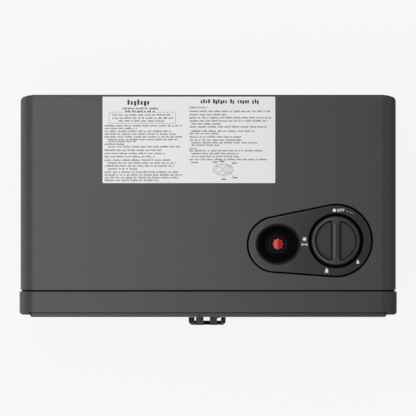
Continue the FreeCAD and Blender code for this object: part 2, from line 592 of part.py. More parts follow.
def pull_bail():
    """Swinging pull: two deep legs on the pins and a grip bar across their lower ends."""
    y_in, y_out = DOOR_FRONT_Y - 0.6, PULL_FRONT_Y
    x_left, x_right = PULL_X - PULL_HALF_W, PULL_X + PULL_HALF_W
    corners = [(y_out, PULL_PIN_Z), (y_out, PULL_Z0 + 1.5), (y_out + 1.5, PULL_Z0), (y_out + 4.0, PULL_Z0),
               (y_in, PULL_Z0 + 7.0), (y_in, PULL_PIN_Z - 1.0), (y_in - 1.2, PULL_PIN_Z + 0.9),
               (PULL_PIN_Y, PULL_PIN_Z + PULL_EYE_R)]
    middle = (PULL_PIN_Y - PULL_EYE_R * math.sqrt(0.5), PULL_PIN_Z + PULL_EYE_R * math.sqrt(0.5))
    legs = []
    for x, width in ((x_left, PULL_LEG_WS[0]), (x_right - PULL_LEG_WS[1], PULL_LEG_WS[1])):
        points = [V(x, y, z) for y, z in corners]
        edges = [Part.LineSegment(a, b).toShape() for a, b in zip(points, points[1:])]
        edges.append(Part.Arc(points[-1], V(x, *middle), points[0]).toShape())
        legs.append(Part.Face(Part.Wire(edges)).extrude(V(width, 0, 0)))
    grip = block_x(y_out, y_out + 4.0, PULL_Z0, PULL_Z0 + 5.0, 1.6, x_left, x_right)
    bail = fuse(*legs, grip)
    bail = bail.common(block_z(x_left, x_right, y_out, y_out + 60, 4.0, PULL_Z0 - 1, PULL_PIN_Z + 10))
    return bail.cut(rod((-50, PULL_PIN_Y, PULL_PIN_Z), (1, 0, 0), PIN_R + RUN, 100))


def pull_pins():
    """Two short pins, each through a lug of the bracket and the leg of the pull beside it."""
    outer = PULL_HALF_W - 1.2
    spans = [(-outer, LUGS[0][1] - 0.3), (LUGS[1][0] + 0.3, outer)]
    return group(rod((PULL_X + x0, PULL_PIN_Y, PULL_PIN_Z), (1, 0, 0), PIN_R, x1 - x0) for x0, x1 in spans)


# ---- Controls -----------------------------------------------------------------------------------
PLATE_FLANGE_T = 2.1
PLATE_Z0 = COVER_Z1 - PLATE_T
WELL_WALL = 2.0
WELL_FLOOR_Z = 133.0          # upper side of the well's floor
HUB_R, HUB_Z0 = 6.0, 128.5
SPINDLE_R = 3.0
SPINDLE_Z0, SPINDLE_Z1 = 108.0, 141.0
VALVE_TOP_Z = 112.0
BONNET_Z1 = 119.5
POST_R, POST_ORBIT = 2.5, 13.0
BARREL_R, BARREL_BORE = 8.0, 6.5
NUT_Z0, NUT_Z1 = 127.0, 131.9
STEM_R = 2.5
BUTTON_Z0, BUTTON_Z1 = 128.0, 142.0
BUTTON_LOBES, LOBE_R = 8, 1.45
BUTTON_DOME_R = 14.0


def around(centre, orbit, count, start=0.0):
    """Points evenly spaced on a circle."""
    angles = [start + k * 2 * math.pi / count for k in range(count)]
    return [(centre[0] + orbit * math.cos(a), centre[1] + orbit * math.sin(a)) for a in angles]


def control_panel():
    """Teardrop plate, flush with the cover, with a wider flange under it."""
    plate = control_outline(-PLATE_GROOVE / 2, PLATE_Z0, COVER_Z1)
    plate = plate.makeFillet(0.5, [e for e in plate.Edges if e.BoundBox.ZMin > COVER_Z1 - 0.01])
    flange = control_outline(4.0, PLATE_Z0, PLATE_Z0 + PLATE_FLANGE_T)
    groove = (PLATE_Z0 + 0.8, PLATE_Z0 + PLATE_FLANGE_T + 1)
    channel = control_outline(PLATE_GROOVE / 2, *groove).cut(control_outline(-PLATE_GROOVE / 2, *groove))
    plate = fuse(plate, flange.cut(channel))
    return cut(
        plate,
        rod((*KNOB, PLATE_Z0 - 1), (0, 0, 1), KNOB_WELL_R, PLATE_T + 2),
        oval(0.7, PLATE_Z0 - 1).extrude(V(0, 0, PLATE_T + 2)),
    )


def knob_well():
    """Round cup under the control panel that the knob turns in; three posts carry the valve."""
    r_out, floor = KNOB_WELL_R + WELL_WALL, WELL_FLOOR_Z - WELL_WALL
    profile = [(HUB_R + 0.5, floor), (r_out, floor), (r_out, PLATE_Z0), (KNOB_WELL_R, PLATE_Z0),
               (KNOB_WELL_R, WELL_FLOOR_Z), (HUB_R + 0.5, WELL_FLOOR_Z)]
    well = turned((*KNOB, 0), profile)
    posts = [rod((x, y, BONNET_Z1), (0, 0, 1), POST_R, floor + 0.5 - BONNET_Z1)
             for x, y in around(KNOB, POST_ORBIT, 3, math.pi / 6)]
    return fuse(well, *posts)


def finger_recesses(inset, z0, z1):
    """The two D-shaped recesses of the knob, taken in by an inset."""
    x, y = KNOB
    half = KNOB_BAR_W / 2 + inset
    disc = rod((x, y, z0), (0, 0, 1), KNOB_RECESS_R - inset, z1 - z0)
    halves = disc.cut(box(x - half, x + half, y - 30, y + 30, z0 - 1, z1 + 1))
    corners = [e for e in halves.Edges if abs(e.BoundBox.ZLength - (z1 - z0)) < 0.01]
    return halves.makeFillet(2.0 - inset, corners)


def gas_knob():
    """Round knob with two D-shaped finger recesses and the crowned grip bar that they leave."""
    x, y = KNOB
    top = KNOB_TOP_Z
    body = rod((x, y, top - KNOB_H), (0, 0, 1), KNOB_R, KNOB_H)
    body = body.makeFillet(KNOB_EDGE_R, [e for e in body.Edges if e.BoundBox.ZMin > top - 0.01])
    body = body.cut(finger_recesses(0.0, top - KNOB_RECESS_D, top + 1))
    rims = [e for e in body.Edges if e.BoundBox.ZMin > top - 0.01 and e.BoundBox.YLength < 2 * KNOB_RECESS_R
            and e.BoundBox.XMin > x - KNOB_RECESS_R - 0.1 and e.BoundBox.XMax < x + KNOB_RECESS_R + 0.1]
    body = body.makeFillet(KNOB_INNER_R, rims)
    groove_z = top - KNOB_RECESS_D
    groove = finger_recesses(0.0, groove_z - 1.5, groove_z + 0.01).cut(
        finger_recesses(1.0, groove_z - 2, groove_z + 1))
    above_crown = box(x - 3.7, x + 3.7, y - 17.0, y + 17.0, top - 2, top + 1).cut(
        rod((x, y - 18, top - CROWN_R), (0, 1, 0), CROWN_R, 36))
    hub = rod((x, y, HUB_Z0), (0, 0, 1), HUB_R, top - KNOB_H - HUB_Z0 + 1)
    knob = fuse(cut(body, groove, above_crown), hub)
    return knob.cut(rod((x, y, HUB_Z0 - 1), (0, 0, 1), SPINDLE_R, SPINDLE_Z1 - HUB_Z0 + 1))


def valve_spindle():
    """Spindle pressed into the knob's hub."""
    return rod((*KNOB, SPINDLE_Z0), (0, 0, 1), SPINDLE_R, SPINDLE_Z1 - SPINDLE_Z0)


def valve_plunger():
    """Plunger under the spindle: it goes in with the knob but doesn't turn."""
    foot_z = SPINDLE_Z0 - 18.0
    return fuse(
        rod((*KNOB, foot_z), (0, 0, 1), 2.0, SPINDLE_Z0 - 0.1 - foot_z),
        box(KNOB[0] - 2.5, KNOB[0] + 2.5, KNOB[1] - 2.5, KNOB[1] + 2.5, foot_z, foot_z + 3.0),
    )


def knob_spring():
    """Spring between the valve's bonnet and the knob's hub."""
    return coil_spring(KNOB, BONNET_Z1, HUB_Z0, 4.6, 0.5, 4.0)


def gas_valve():
    """Valve block with a round bonnet, a port at the back, one at the left and one below."""
    x, y = KNOB
    block = block_z(x - 18.0, x + 20.0, y - 17.0, y + 17.0, 4.0, 80.0, VALVE_TOP_Z)
    bonnet = rod((x, y, VALVE_TOP_Z - 1), (0, 0, 1), 16.0, BONNET_Z1 - VALVE_TOP_Z + 1)
    rear_port = rod((GAS_IN_X, y + 16, 95.0), (0, 1, 0), 7.0, 7.0)
    left_port = rod((x - 17, y - 6.2, 92.0), (-1, 0, 0), 7.0, 7.0)
    low_port = rod((x, y, 74.0), (0, 0, 1), 5.0, 8.0)
    bore = fuse(
        rod((x, y, SPINDLE_Z0 - 4), (0, 0, 1), SPINDLE_R + 0.08, BONNET_Z1 - SPINDLE_Z0 + 5),
        rod((x, y, SPINDLE_Z0 - 20), (0, 0, 1), 2.08, 20),
        box(x - 2.6, x + 2.6, y - 2.6, y + 2.6, SPINDLE_Z0 - 22.5, SPINDLE_Z0 - 14.0),
    )
    ports = [
        rod((GAS_IN_X, y + 24, 95.0), (0, -1, 0), GAS_R, 6.0),
        rod((x - 25, y - 6.2, 92.0), (1, 0, 0), GAS_R, 6.0),
        rod((x, y, 73.0), (0, 0, 1), 1.2, 6.0),
    ]
    return cut(fuse(block, bonnet, rear_port, left_port, low_port), bore, *ports)


def oval(offset, z):
    """Flat oval round the igniter, the cup's mouth grown by an offset."""
    edge = Part.Ellipse(V(*IGNITER, z), CUP_MOUTH[0] + offset, CUP_MOUTH[1] + offset).toShape()
    return Part.Face(Part.Wire(edge))


def funnel(offset, z_mouth, floor_r, z_floor):
    """Solid that narrows from the oval mouth to a round floor."""
    floor_edge = Part.Circle(V(*IGNITER, z_floor), V(0, 0, 1), floor_r).toShape()
    return Part.makeLoft([Part.Wire(floor_edge), oval(offset, z_mouth).OuterWire], True, True)


def igniter_cup():
    """Funnel in the control panel with an oval mouth and a flat round floor about the button."""
    z, lip_z = CUP_FLOOR_Z, COVER_Z1 - 1.2
    skirt = funnel(0.7, PLATE_Z0 - 2.0, CUP_FLOOR_R + 1.5, z - 2.0)
    flange = oval(4.0, PLATE_Z0 - 2.0).extrude(V(0, 0, 2.0))
    neck = oval(0.7, PLATE_Z0 - 2.0).extrude(V(0, 0, COVER_Z1 - PLATE_Z0 + 2.0))
    hollow = fuse(funnel(-0.6, lip_z, CUP_FLOOR_R, z), oval(-0.6, lip_z).extrude(V(0, 0, 5.0)))
    rim = Part.makeLoft([oval(-0.6, lip_z).OuterWire, oval(0.0, COVER_Z1).OuterWire], True, True)
    return cut(fuse(skirt, flange, neck), hollow, rim, rod((*IGNITER, z - 3), (0, 0, 1), BARREL_R, 6.0))


def igniter_body():
    """Piezo unit: a threaded barrel through the cup's floor, with a flange round the button."""
    x, y = IGNITER
    barrel = rod((x, y, 96.0), (0, 0, 1), BARREL_R, CUP_FLOOR_Z - 96.0)
    flange = [(BARREL_BORE, CUP_FLOOR_Z), (12.2, CUP_FLOOR_Z), (12.2, CUP_FLOOR_Z + 0.8),
              (9.0, CUP_FLOOR_Z + 2.2), (BARREL_BORE, CUP_FLOOR_Z + 2.2)]
    case = rod((x, y, 86.0), (0, 0, 1), 6.5, 11.0)
    terminal = rod((x, y, 83.0), (0, 0, 1), 2.6, 4.0)
    body = fuse(barrel, turned((x, y, 0), flange), case, terminal)
    return cut(
        body,
        rod((x, y, 118.0), (0, 0, 1), BARREL_BORE, 30.0),
        rod((x, y, 105.0), (0, 0, 1), STEM_R + 0.08, 20.0),
        rod((x, y, 80.0), (0, 0, 1), LEAD_R, 5.0),
    )


def igniter_nut():
    """Nut that clamps the piezo unit under the cup's floor."""
    nut = hexagon((*IGNITER, NUT_Z0), (0, 0, 1), 21.0, NUT_Z1 - NUT_Z0)
    return nut.cut(rod((*IGNITER, NUT_Z0 - 1), (0, 0, 1), BARREL_R, 8.0))


def igniter_button():
    """Fluted push button with a stem."""
    x, y = IGNITER
    height = BUTTON_Z1 - BUTTON_Z0
    core = rod((x, y, BUTTON_Z0), (0, 0, 1), BUTTON_R - 1.4, height)
    lobes = [rod((px, py, BUTTON_Z0), (0, 0, 1), LOBE_R, height)
             for px, py in around(IGNITER, BUTTON_R - LOBE_R, BUTTON_LOBES)]
    dome = Part.makeSphere(BUTTON_DOME_R, V(x, y, BUTTON_Z1 - BUTTON_DOME_R))
    head = fuse(core, *lobes).common(fuse(dome, rod((x, y, BUTTON_Z0), (0, 0, 1), 10.0, 8.0)))
    return fuse(head, rod((x, y, 111.0), (0, 0, 1), STEM_R, BUTTON_Z0 - 110.0))


def igniter_spring():
    """Spring under the button, round its stem."""
    return coil_spring(IGNITER, 118.0, BUTTON_Z0, 4.4, 0.5, 5.0)


def label():
    """Plain adhesive sheet on the cover."""
    z = COVER_Z1
    return block_z(LABEL_X0, LABEL_X1, LABEL_Y0, LABEL_Y1, 1.0, z, z + LABEL_T)


# ---- Gas ----------------------------------------------------------------------------------------
PORT_NECK_R = 8.0
LEAD_R, SENSOR_LEAD_R = 1.5, 1.0
GAS_THREAD_R, GAS_THREAD_L = 7.9, 14.0
WATER_THREAD_R, WATER_THREAD_L = 10.48, 15.0
HEX_T = 5.0
REGULATOR = (GAS_IN_X, 44.0)
REGULATOR_Z0, REGULATOR_Z1, REGULATOR_DOME_Z = 52.0, 72.0, 82.0
REGULATOR_R, REGULATOR_DOME_R = 22.0, 15.0
VALVE_OUT_Y, VALVE_OUT_Z = KNOB[1] - 6.2, 92.0
MANIFOLD_X0, MANIFOLD_X1 = -126.0, 8.0


def connector(x, thread_r, thread_l, hex_af, bore_r, neck_l):
    """Male connector in the bay's back wall, with a hexagon in front of the wall."""
    y = BAY_REAR_Y
    thread = rod((x, y - HEX_T - thread_l, PORT_Z), (0, 1, 0), thread_r, thread_l)
    collar = hexagon((x, y - HEX_T, PORT_Z), (0, 1, 0), hex_af, HEX_T)
    neck = rod((x, y, PORT_Z), (0, 1, 0), PORT_NECK_R, BAY_WALL + neck_l)
    body = fuse(thread, collar, neck)
    return body.cut(rod((x, y - 40, PORT_Z), (0, 1, 0), bore_r, 60))


def gas_inlet_fitting():
    """Gas connector."""
    return connector(GAS_IN_X, GAS_THREAD_R, GAS_THREAD_L, 22.0, GAS_R, 4.0)


def gas_regulator():
    """Round regulator with a domed spring housing and an inlet at the front."""
    x, y = REGULATOR
    dome_r = REGULATOR_DOME_R
    profile = [(0, REGULATOR_Z0), (REGULATOR_R, REGULATOR_Z0), (REGULATOR_R, REGULATOR_Z1),
               (dome_r, REGULATOR_Z1), (dome_r - 3, REGULATOR_DOME_Z), (0, REGULATOR_DOME_Z)]
    body = turned((x, y, 0), profile)
    stub = rod((x, y - REGULATOR_R - 5, PORT_Z), (0, 1, 0), 6.5, 10.0)
    foot = rod((x, y, FLOOR_IN), (0, 0, 1), 7.0, REGULATOR_Z0 - FLOOR_IN + 1)
    return cut(
        fuse(body, stub, foot),
        rod((x, y - REGULATOR_R - 6, PORT_Z), (0, 1, 0), GAS_R, 11.0),
        rod((x, y, REGULATOR_DOME_Z - 5), (0, 0, 1), GAS_R, 10.0),
    )


def gas_inlet_pipe():
    """Straight pipe from the connector to the regulator."""
    y0, y1 = BAY_REAR_Y, REGULATOR[1] - REGULATOR_R
    return cut(
        rod((GAS_IN_X, y0, PORT_Z), (0, 1, 0), GAS_R, y1 - y0),
        rod((GAS_IN_X, y0 - 1, PORT_Z), (0, 1, 0), GAS_R - 1, y1 - y0 + 2),
    )


def regulated_gas_pipe():
    """Pipe from the top of the regulator to the back of the valve."""
    x, y = REGULATOR
    points = [(x, y, REGULATOR_DOME_Z - 5), (x, y, 95.0), (x, KNOB[1] + 18.0, 95.0)]
    return pipe(points, 10.0, GAS_R, GAS_R - 1)


def gas_feed_pipe():
    """Pipe from the valve down to the manifold."""
    y, z = VALVE_OUT_Y, VALVE_OUT_Z
    x_down = 88.0
    points = [(KNOB[0] - 19.0, y, z), (x_down, y, z), (x_down, MANIFOLD_Y, BURNER_Z),
              (MANIFOLD_X1 - 4, MANIFOLD_Y, BURNER_Z)]
    return pipe(points, 10.0, GAS_R, GAS_R - 1)


def burner_xs():
    """Middle of each burner bar."""
    return [BURNER_X0 + k * BURNER_PITCH for k in range(BURNER_COUNT)]


def gas_manifold():
    """Closed tube in front of the burners, with a seat for each injector."""
    length = MANIFOLD_X1 - MANIFOLD_X0
    tube = rod((MANIFOLD_X0, MANIFOLD_Y, BURNER_Z), (1, 0, 0), MANIFOLD_R, length)
    tube = tube.cut(rod((MANIFOLD_X0 + 2, MANIFOLD_Y, BURNER_Z), (1, 0, 0), MANIFOLD_R - 2, length - 4))
    feet = [box(x - 4, x + 4, MANIFOLD_Y - 3, MANIFOLD_Y + 3, FLOOR_IN, BURNER_Z - MANIFOLD_R + 1)
            for x in (MANIFOLD_X0 + 8, MANIFOLD_X1 - 12)]
    tube = fuse(tube, *feet)
    tube = tube.cut(rod((MANIFOLD_X1 - 6, MANIFOLD_Y, BURNER_Z), (1, 0, 0), GAS_R, 8))
    for x in burner_xs():
        tube = tube.cut(rod((x, MANIFOLD_Y, BURNER_Z), (0, 1, 0), 1.5, 12))
    return tube


def injector(x):
    """Small nozzle screwed into the manifold."""
    y0 = MANIFOLD_Y + MANIFOLD_R - 1.5
    body = fuse(
        rod((x, y0, BURNER_Z), (0, 1, 0), 1.5, 4.0),
        hexagon((x, MANIFOLD_Y + MANIFOLD_R, BURNER_Z), (0, 1, 0), 5.0, 4.0),
    )
    return body.cut(rod((x, y0 - 1, BURNER_Z), (0, 1, 0), 0.5, 10))


def burner_bar(x):
    """Burner bar with a venturi at the front and flame slots along the top."""
    y0, y1 = CHAMBER_Y0 + 3, CHAMBER_Y1 - 4
    low, high = BURNER_Z - 6.0, CHAMBER_Z0 - 3.0
    bar = fuse(
        box(x - 5, x + 5, y0, y1, low, high - 5.0),
        rod((x, y0, high - 5.0), (0, 1, 0), 5.0, y1 - y0),
    )
    reach = y0 - MANIFOLD_Y - 13
    funnel = [(0, 0), (6.0, 0), (3.6, 5.0), (3.6, reach), (0, reach)]
    hollow = [(0, 0), (5.4, 0), (2.6, 5.5), (2.6, reach + 13), (0, reach + 13)]
    throat = turned((x, MANIFOLD_Y + 13.5, BURNER_Z), funnel, (0, 1, 0))
    bar = fuse(bar, throat)
    hollow = fuse(
        box(x - 4, x + 4, y0 + 1, y1 - 1, low + 1, high - 5.0),
        rod((x, y0 + 1, high - 5.0), (0, 1, 0), 4.0, y1 - y0 - 2),
        turned((x, MANIFOLD_Y + 13, BURNER_Z), hollow, (0, 1, 0)),
    )
    bar = bar.cut(hollow)
    slots = [box(x - 6, x + 6, y, y + 1.0, high - 4.0, high + 1) for y in range(int(y0) + 8, int(y1) - 6, 8)]
    return bar.cut(Part.makeCompound(slots))


def burner_rack():
    """Two bent rails that carry the burner bars."""
    rails = []
    for y in (CHAMBER_Y0 + 8, CHAMBER_Y1 - 16):
        top = BURNER_Z - 6.0
        x0, x1 = CHAMBER_X0 + SHEET + 0.5, CHAMBER_X1 - SHEET - 0.5
        rail = box(x0, x1, y, y + 8, FLOOR_IN, top)
        rail = rail.cut(box(x0 - 1, x1 + 1, y + 1.2, y + 6.8, FLOOR_IN - 1, top - 1.2))
        rails.append(rail)
    return group(rails)


# ---- Heat exchanger and flue --------------------------------------------------------------------
ELECTRODE_X, ELECTRODE_Z = -27.25, 50.0
SENSOR_X, SENSOR_Z = -60.25, 48.0
TUBE_X0, TUBE_X1 = CHAMBER_X0 - 6.0, CHAMBER_X1 + 6.0
SENSOR_DISC = (28.0 + 14.0, 80.0)     # y and z of the overheat sensor on the chamber's right wall


def combustion_chamber():
    """Sheet-metal box round the flames and the fins, open below and above, on two long feet."""
    outer = box(CHAMBER_X0, CHAMBER_X1, CHAMBER_Y0, CHAMBER_Y1, FLOOR_IN, CHAMBER_Z1)
    inner = box(CHAMBER_X0 + SHEET, CHAMBER_X1 - SHEET, CHAMBER_Y0 + SHEET, CHAMBER_Y1 - SHEET, 0, 200)
    wide = box(CHAMBER_X0 + SHEET, CHAMBER_X1 - SHEET, CHAMBER_Y0 - 1, CHAMBER_Y1 + 1, 0, CHAMBER_Z0)
    chamber = cut(outer, inner, wide)
    for x0 in (CHAMBER_X0, CHAMBER_X1 - SHEET):
        for y in range(int(CHAMBER_Y0) + 16, int(CHAMBER_Y1) - 12, 20):
            chamber = chamber.cut(block_x(y, y + 12.0, 18.0, 32.0, 4.0, x0 - 1, x0 + SHEET + 1))
    for y in TUBE_ROWS_Y:
        length = CHAMBER_X1 - CHAMBER_X0 + 4
        chamber = chamber.cut(rod((CHAMBER_X0 - 2, y, TUBE_Z), (1, 0, 0), TUBE_R, length))
    chamber = chamber.cut(rod((ELECTRODE_X, CHAMBER_Y0 - 2, ELECTRODE_Z), (0, 1, 0), 3.0, 5.0))
    return chamber.cut(rod((SENSOR_X, CHAMBER_Y0 - 2, SENSOR_Z), (0, 1, 0), 2.0, 5.0))


def heat_fin(x):
    """One fin, with a hole for each row of the tube."""
    y0, y1 = CHAMBER_Y0 + SHEET + 0.5, CHAMBER_Y1 - SHEET - 0.5
    fin = block_x(y0, y1, TUBE_Z - 10.0, TUBE_Z + 10.0, 4.0, x, x + FIN_T)
    for y in TUBE_ROWS_Y:
        fin = fin.cut(rod((x - 1, y, TUBE_Z), (1, 0, 0), TUBE_R, FIN_T + 2))
    return fin


def exchanger_fins():
    """Evenly spaced fins across the chamber."""
    span = (FIN_COUNT - 1) * FIN_PITCH + FIN_T
    x0 = (CHAMBER_X0 + CHAMBER_X1 - span) / 2
    return group(heat_fin(x0 + k * FIN_PITCH) for k in range(FIN_COUNT))


def exchanger_tube():
    """Serpentine water tube: four rows joined by half-circle bends."""
    parts = []
    for outside in (True, False):
        radius = TUBE_R if outside else TUBE_BORE
        shape = None
        for row, y in enumerate(TUBE_ROWS_Y):
            run = rod((TUBE_X0, y, TUBE_Z), (1, 0, 0), radius, TUBE_X1 - TUBE_X0)
            shape = run if shape is None else shape.fuse(run)
            if row + 1 < len(TUBE_ROWS_Y):
                right = row % 2 == 0
                x = TUBE_X1 if right else TUBE_X0
                bend_r = (TUBE_ROWS_Y[row + 1] - y) / 2
                bend = Part.makeTorus(bend_r, radius, V(x, y + bend_r, TUBE_Z), V(0, 0, 1))
                x0, x1 = (x, x + 60) if right else (x - 60, x)
                bend = bend.common(box(x0, x1, y - 20, y + 60, TUBE_Z - 20, TUBE_Z + 20))
                shape = shape.fuse(bend)
        parts.append(shape)
    return parts[0].cut(parts[1]).removeSplitter()


def flue_hood():
    """Hood over the chamber that leads the exhaust back to the grille."""
    x0, x1 = CHAMBER_X0, CHAMBER_X1
    y0, y1 = CHAMBER_Y0, COVER_REAR_Y - 5.2
    hood = box(x0, x1, y0, y1, CHAMBER_Z1, HOOD_Z1)
    hood = hood.cut(box(x0 + SHEET, x1 - SHEET, y0 + SHEET, y1 + 1, CHAMBER_Z1 + 1.0, HOOD_Z1 - SHEET))
    mouth = box(x0 + SHEET, x1 - SHEET, y0 + SHEET, CHAMBER_Y1 - SHEET, CHAMBER_Z1 - 1, CHAMBER_Z1 + 2)
    return hood.cut(mouth)


def spark_electrode():
    """Ceramic sleeve through the chamber's front wall with a bent wire over a burner."""
    x, z, y0 = ELECTRODE_X, ELECTRODE_Z, CHAMBER_Y0 - 10.0
    sleeve = rod((x, y0, z), (0, 1, 0), 3.0, 20.0)
    wire = solid_pipe([(x, y0 + 19.0, z), (x, y0 + 32.0, z), (x, y0 + 36.0, z - 8.0)], 3.0, 0.8)
    return fuse(sleeve, wire).cut(rod((x, y0 - 1, z), (0, 1, 0), LEAD_R, 5.0))


def thermocouple():
    """Flame sensor through the chamber's front wall."""
    y0 = CHAMBER_Y0 - 10.0
    tip = rod((SENSOR_X, y0, SENSOR_Z), (0, 1, 0), 2.0, 38.0)
    crown = [e for e in tip.Edges if e.BoundBox.YMin > y0 + 37.9]
    tip = tip.makeFillet(1.5, crown)
    return tip.cut(rod((SENSOR_X, y0 - 1, SENSOR_Z), (0, 1, 0), SENSOR_LEAD_R, 5.0))


LEAD_Y = -47.0


def igniter_lead():
    """High-voltage lead from the piezo unit to the spark electrode."""
    x, y = IGNITER
    points = [(x, y, 85.0), (x, y, ELECTRODE_Z + 16.0), (x - 24.0, LEAD_Y, ELECTRODE_Z),
              (ELECTRODE_X, LEAD_Y, ELECTRODE_Z), (ELECTRODE_X, CHAMBER_Y0 - 6.0, ELECTRODE_Z)]
    return solid_pipe(points, 12.0, LEAD_R)


def thermocouple_lead():
    """Thin lead from the thermocouple to the port under the valve."""
    z = SENSOR_Z - 6.0
    points = [(SENSOR_X, CHAMBER_Y0 - 6.0, SENSOR_Z), (SENSOR_X, LEAD_Y + 8.0, SENSOR_Z),
              (SENSOR_X + 14.0, LEAD_Y, z), (KNOB[0] - 16.0, LEAD_Y, z), (*KNOB, z + 8.0), (*KNOB, 79.0)]
    return solid_pipe(points, 5.0, SENSOR_LEAD_R)


def overheat_sensor():
    """Round cut-out switch on the chamber's side wall."""
    y, z = SENSOR_DISC
    body = fuse(
        rod((CHAMBER_X1, y, z), (1, 0, 0), 8.0, 4.0),
        rod((CHAMBER_X1 + 3, y, z), (1, 0, 0), 6.5, 6.0),
        box(CHAMBER_X1 + 8, CHAMBER_X1 + 14, y - 4.0, y - 3.2, z - 3.0, z + 3.0),
        box(CHAMBER_X1 + 8, CHAMBER_X1 + 14, y + 3.2, y + 4.0, z - 3.0, z + 3.0),
    )
    return body


# ---- Water --------------------------------------------------------------------------------------
FLOW_X0, FLOW_X1 = -177.0, -128.0
FLOW_Y0, FLOW_Y1 = BAY_REAR_Y + BAY_WALL + 2.0, -22.0
FLOW_Z0, FLOW_Z1 = 44.0, 84.0
COLD_X, COLD_Y = -158.0, -38.0
HOT_X, HOT_Y = -156.0, -48.5
DRAIN = (-143.0, -38.0)
WATER_BORE_R = 6.5


def water_inlet_fitting():
    """Cold water connector."""
    return connector(WATER_IN_X, WATER_THREAD_R, WATER_THREAD_L, 24.0, WATER_BORE_R, 2.0)


def water_outlet_fitting():
    """Hot water connector."""
    return connector(WATER_OUT_X, WATER_THREAD_R, WATER_THREAD_L, 24.0, TUBE_R, 4.0)


def inlet_filter():
    """Sieve cup in the cold connector's mouth."""
    y0 = BAY_REAR_Y - HEX_T - WATER_THREAD_L
    cup = rod((WATER_IN_X, y0 + 0.5, PORT_Z), (0, 1, 0), WATER_BORE_R, 12.0)
    cup = cut(cup, rod((WATER_IN_X, y0, PORT_Z), (0, 1, 0), WATER_BORE_R - 0.9, 11.0))
    for px, pz in [(0.0, 0.0)] + around((0.0, 0.0), 2.2, 6) + around((0.0, 0.0), 4.3, 10):
        cup = cup.cut(rod((WATER_IN_X + px, y0, PORT_Z + pz), (0, 1, 0), 0.6, 14.0))
    return cup


def flow_valve():
    """Water valve block with a round diaphragm housing, between the inlet and the exchanger."""
    block = block_z(FLOW_X0, FLOW_X1, FLOW_Y0, FLOW_Y1, 5.0, FLOW_Z0, FLOW_Z1 - 14.0)
    housing = rod((COLD_X, (FLOW_Y0 + FLOW_Y1) / 2, FLOW_Z1 - 15.0), (0, 0, 1), 16.0, 11.0)
    neck = rod((COLD_X, COLD_Y, FLOW_Z1 - 5.0), (0, 0, 1), 8.0, 5.0)
    feet = [rod((x, COLD_Y, FLOOR_IN), (0, 0, 1), 3.5, FLOW_Z0 - FLOOR_IN + 1) for x in (-165.5, -131.0)]
    return cut(
        fuse(block, housing, neck, *feet),
        rod((WATER_IN_X, FLOW_Y0 - 1, PORT_Z), (0, 1, 0), WATER_BORE_R, 16.0),
        rod((COLD_X, COLD_Y, FLOW_Z1 - 5.0), (0, 0, 1), TUBE_R, 6.0),
        rod((*DRAIN, FLOW_Z0 - 1), (0, 0, 1), 5.0, 9.0),
    )


def drain_plug():
    """Screw plug under the water valve, reached through the pan."""
    head = hexagon((*DRAIN, COVER_Z0 + 0.4), (0, 0, 1), 12.0, 5.0)
    stem = rod((*DRAIN, COVER_Z0 + 4), (0, 0, 1), 5.0, FLOW_Z0 + 7.5 - COVER_Z0 - 4)
    x, y = DRAIN
    return fuse(head, stem).cut(box(x - 4, x + 4, y - 0.8, y + 0.8, 0, COVER_Z0 + 2))


def cold_pipe():
    """Tube from the water valve to the first row of the exchanger."""
    y_row = TUBE_ROWS_Y[0]
    points = [(COLD_X, COLD_Y, FLOW_Z1 - 5.0), (COLD_X, COLD_Y, TUBE_Z), (COLD_X, y_row, TUBE_Z),
              (TUBE_X0, y_row, TUBE_Z)]
    return pipe(points, 10.0, TUBE_R, TUBE_BORE)


def hot_pipe():
    """Tube from the last row of the exchanger, low along the side, to the hot connector."""
    y_row, low_z = TUBE_ROWS_Y[-1], 28.0
    points = [(TUBE_X0, y_row, TUBE_Z), (HOT_X, y_row, TUBE_Z), (HOT_X, y_row, low_z), (HOT_X, HOT_Y, low_z),
              (WATER_OUT_X, HOT_Y, low_z), (WATER_OUT_X, HOT_Y, PORT_Z), (WATER_OUT_X, BAY_REAR_Y, PORT_Z)]
    return pipe(points, 5.6, TUBE_R, TUBE_BORE)


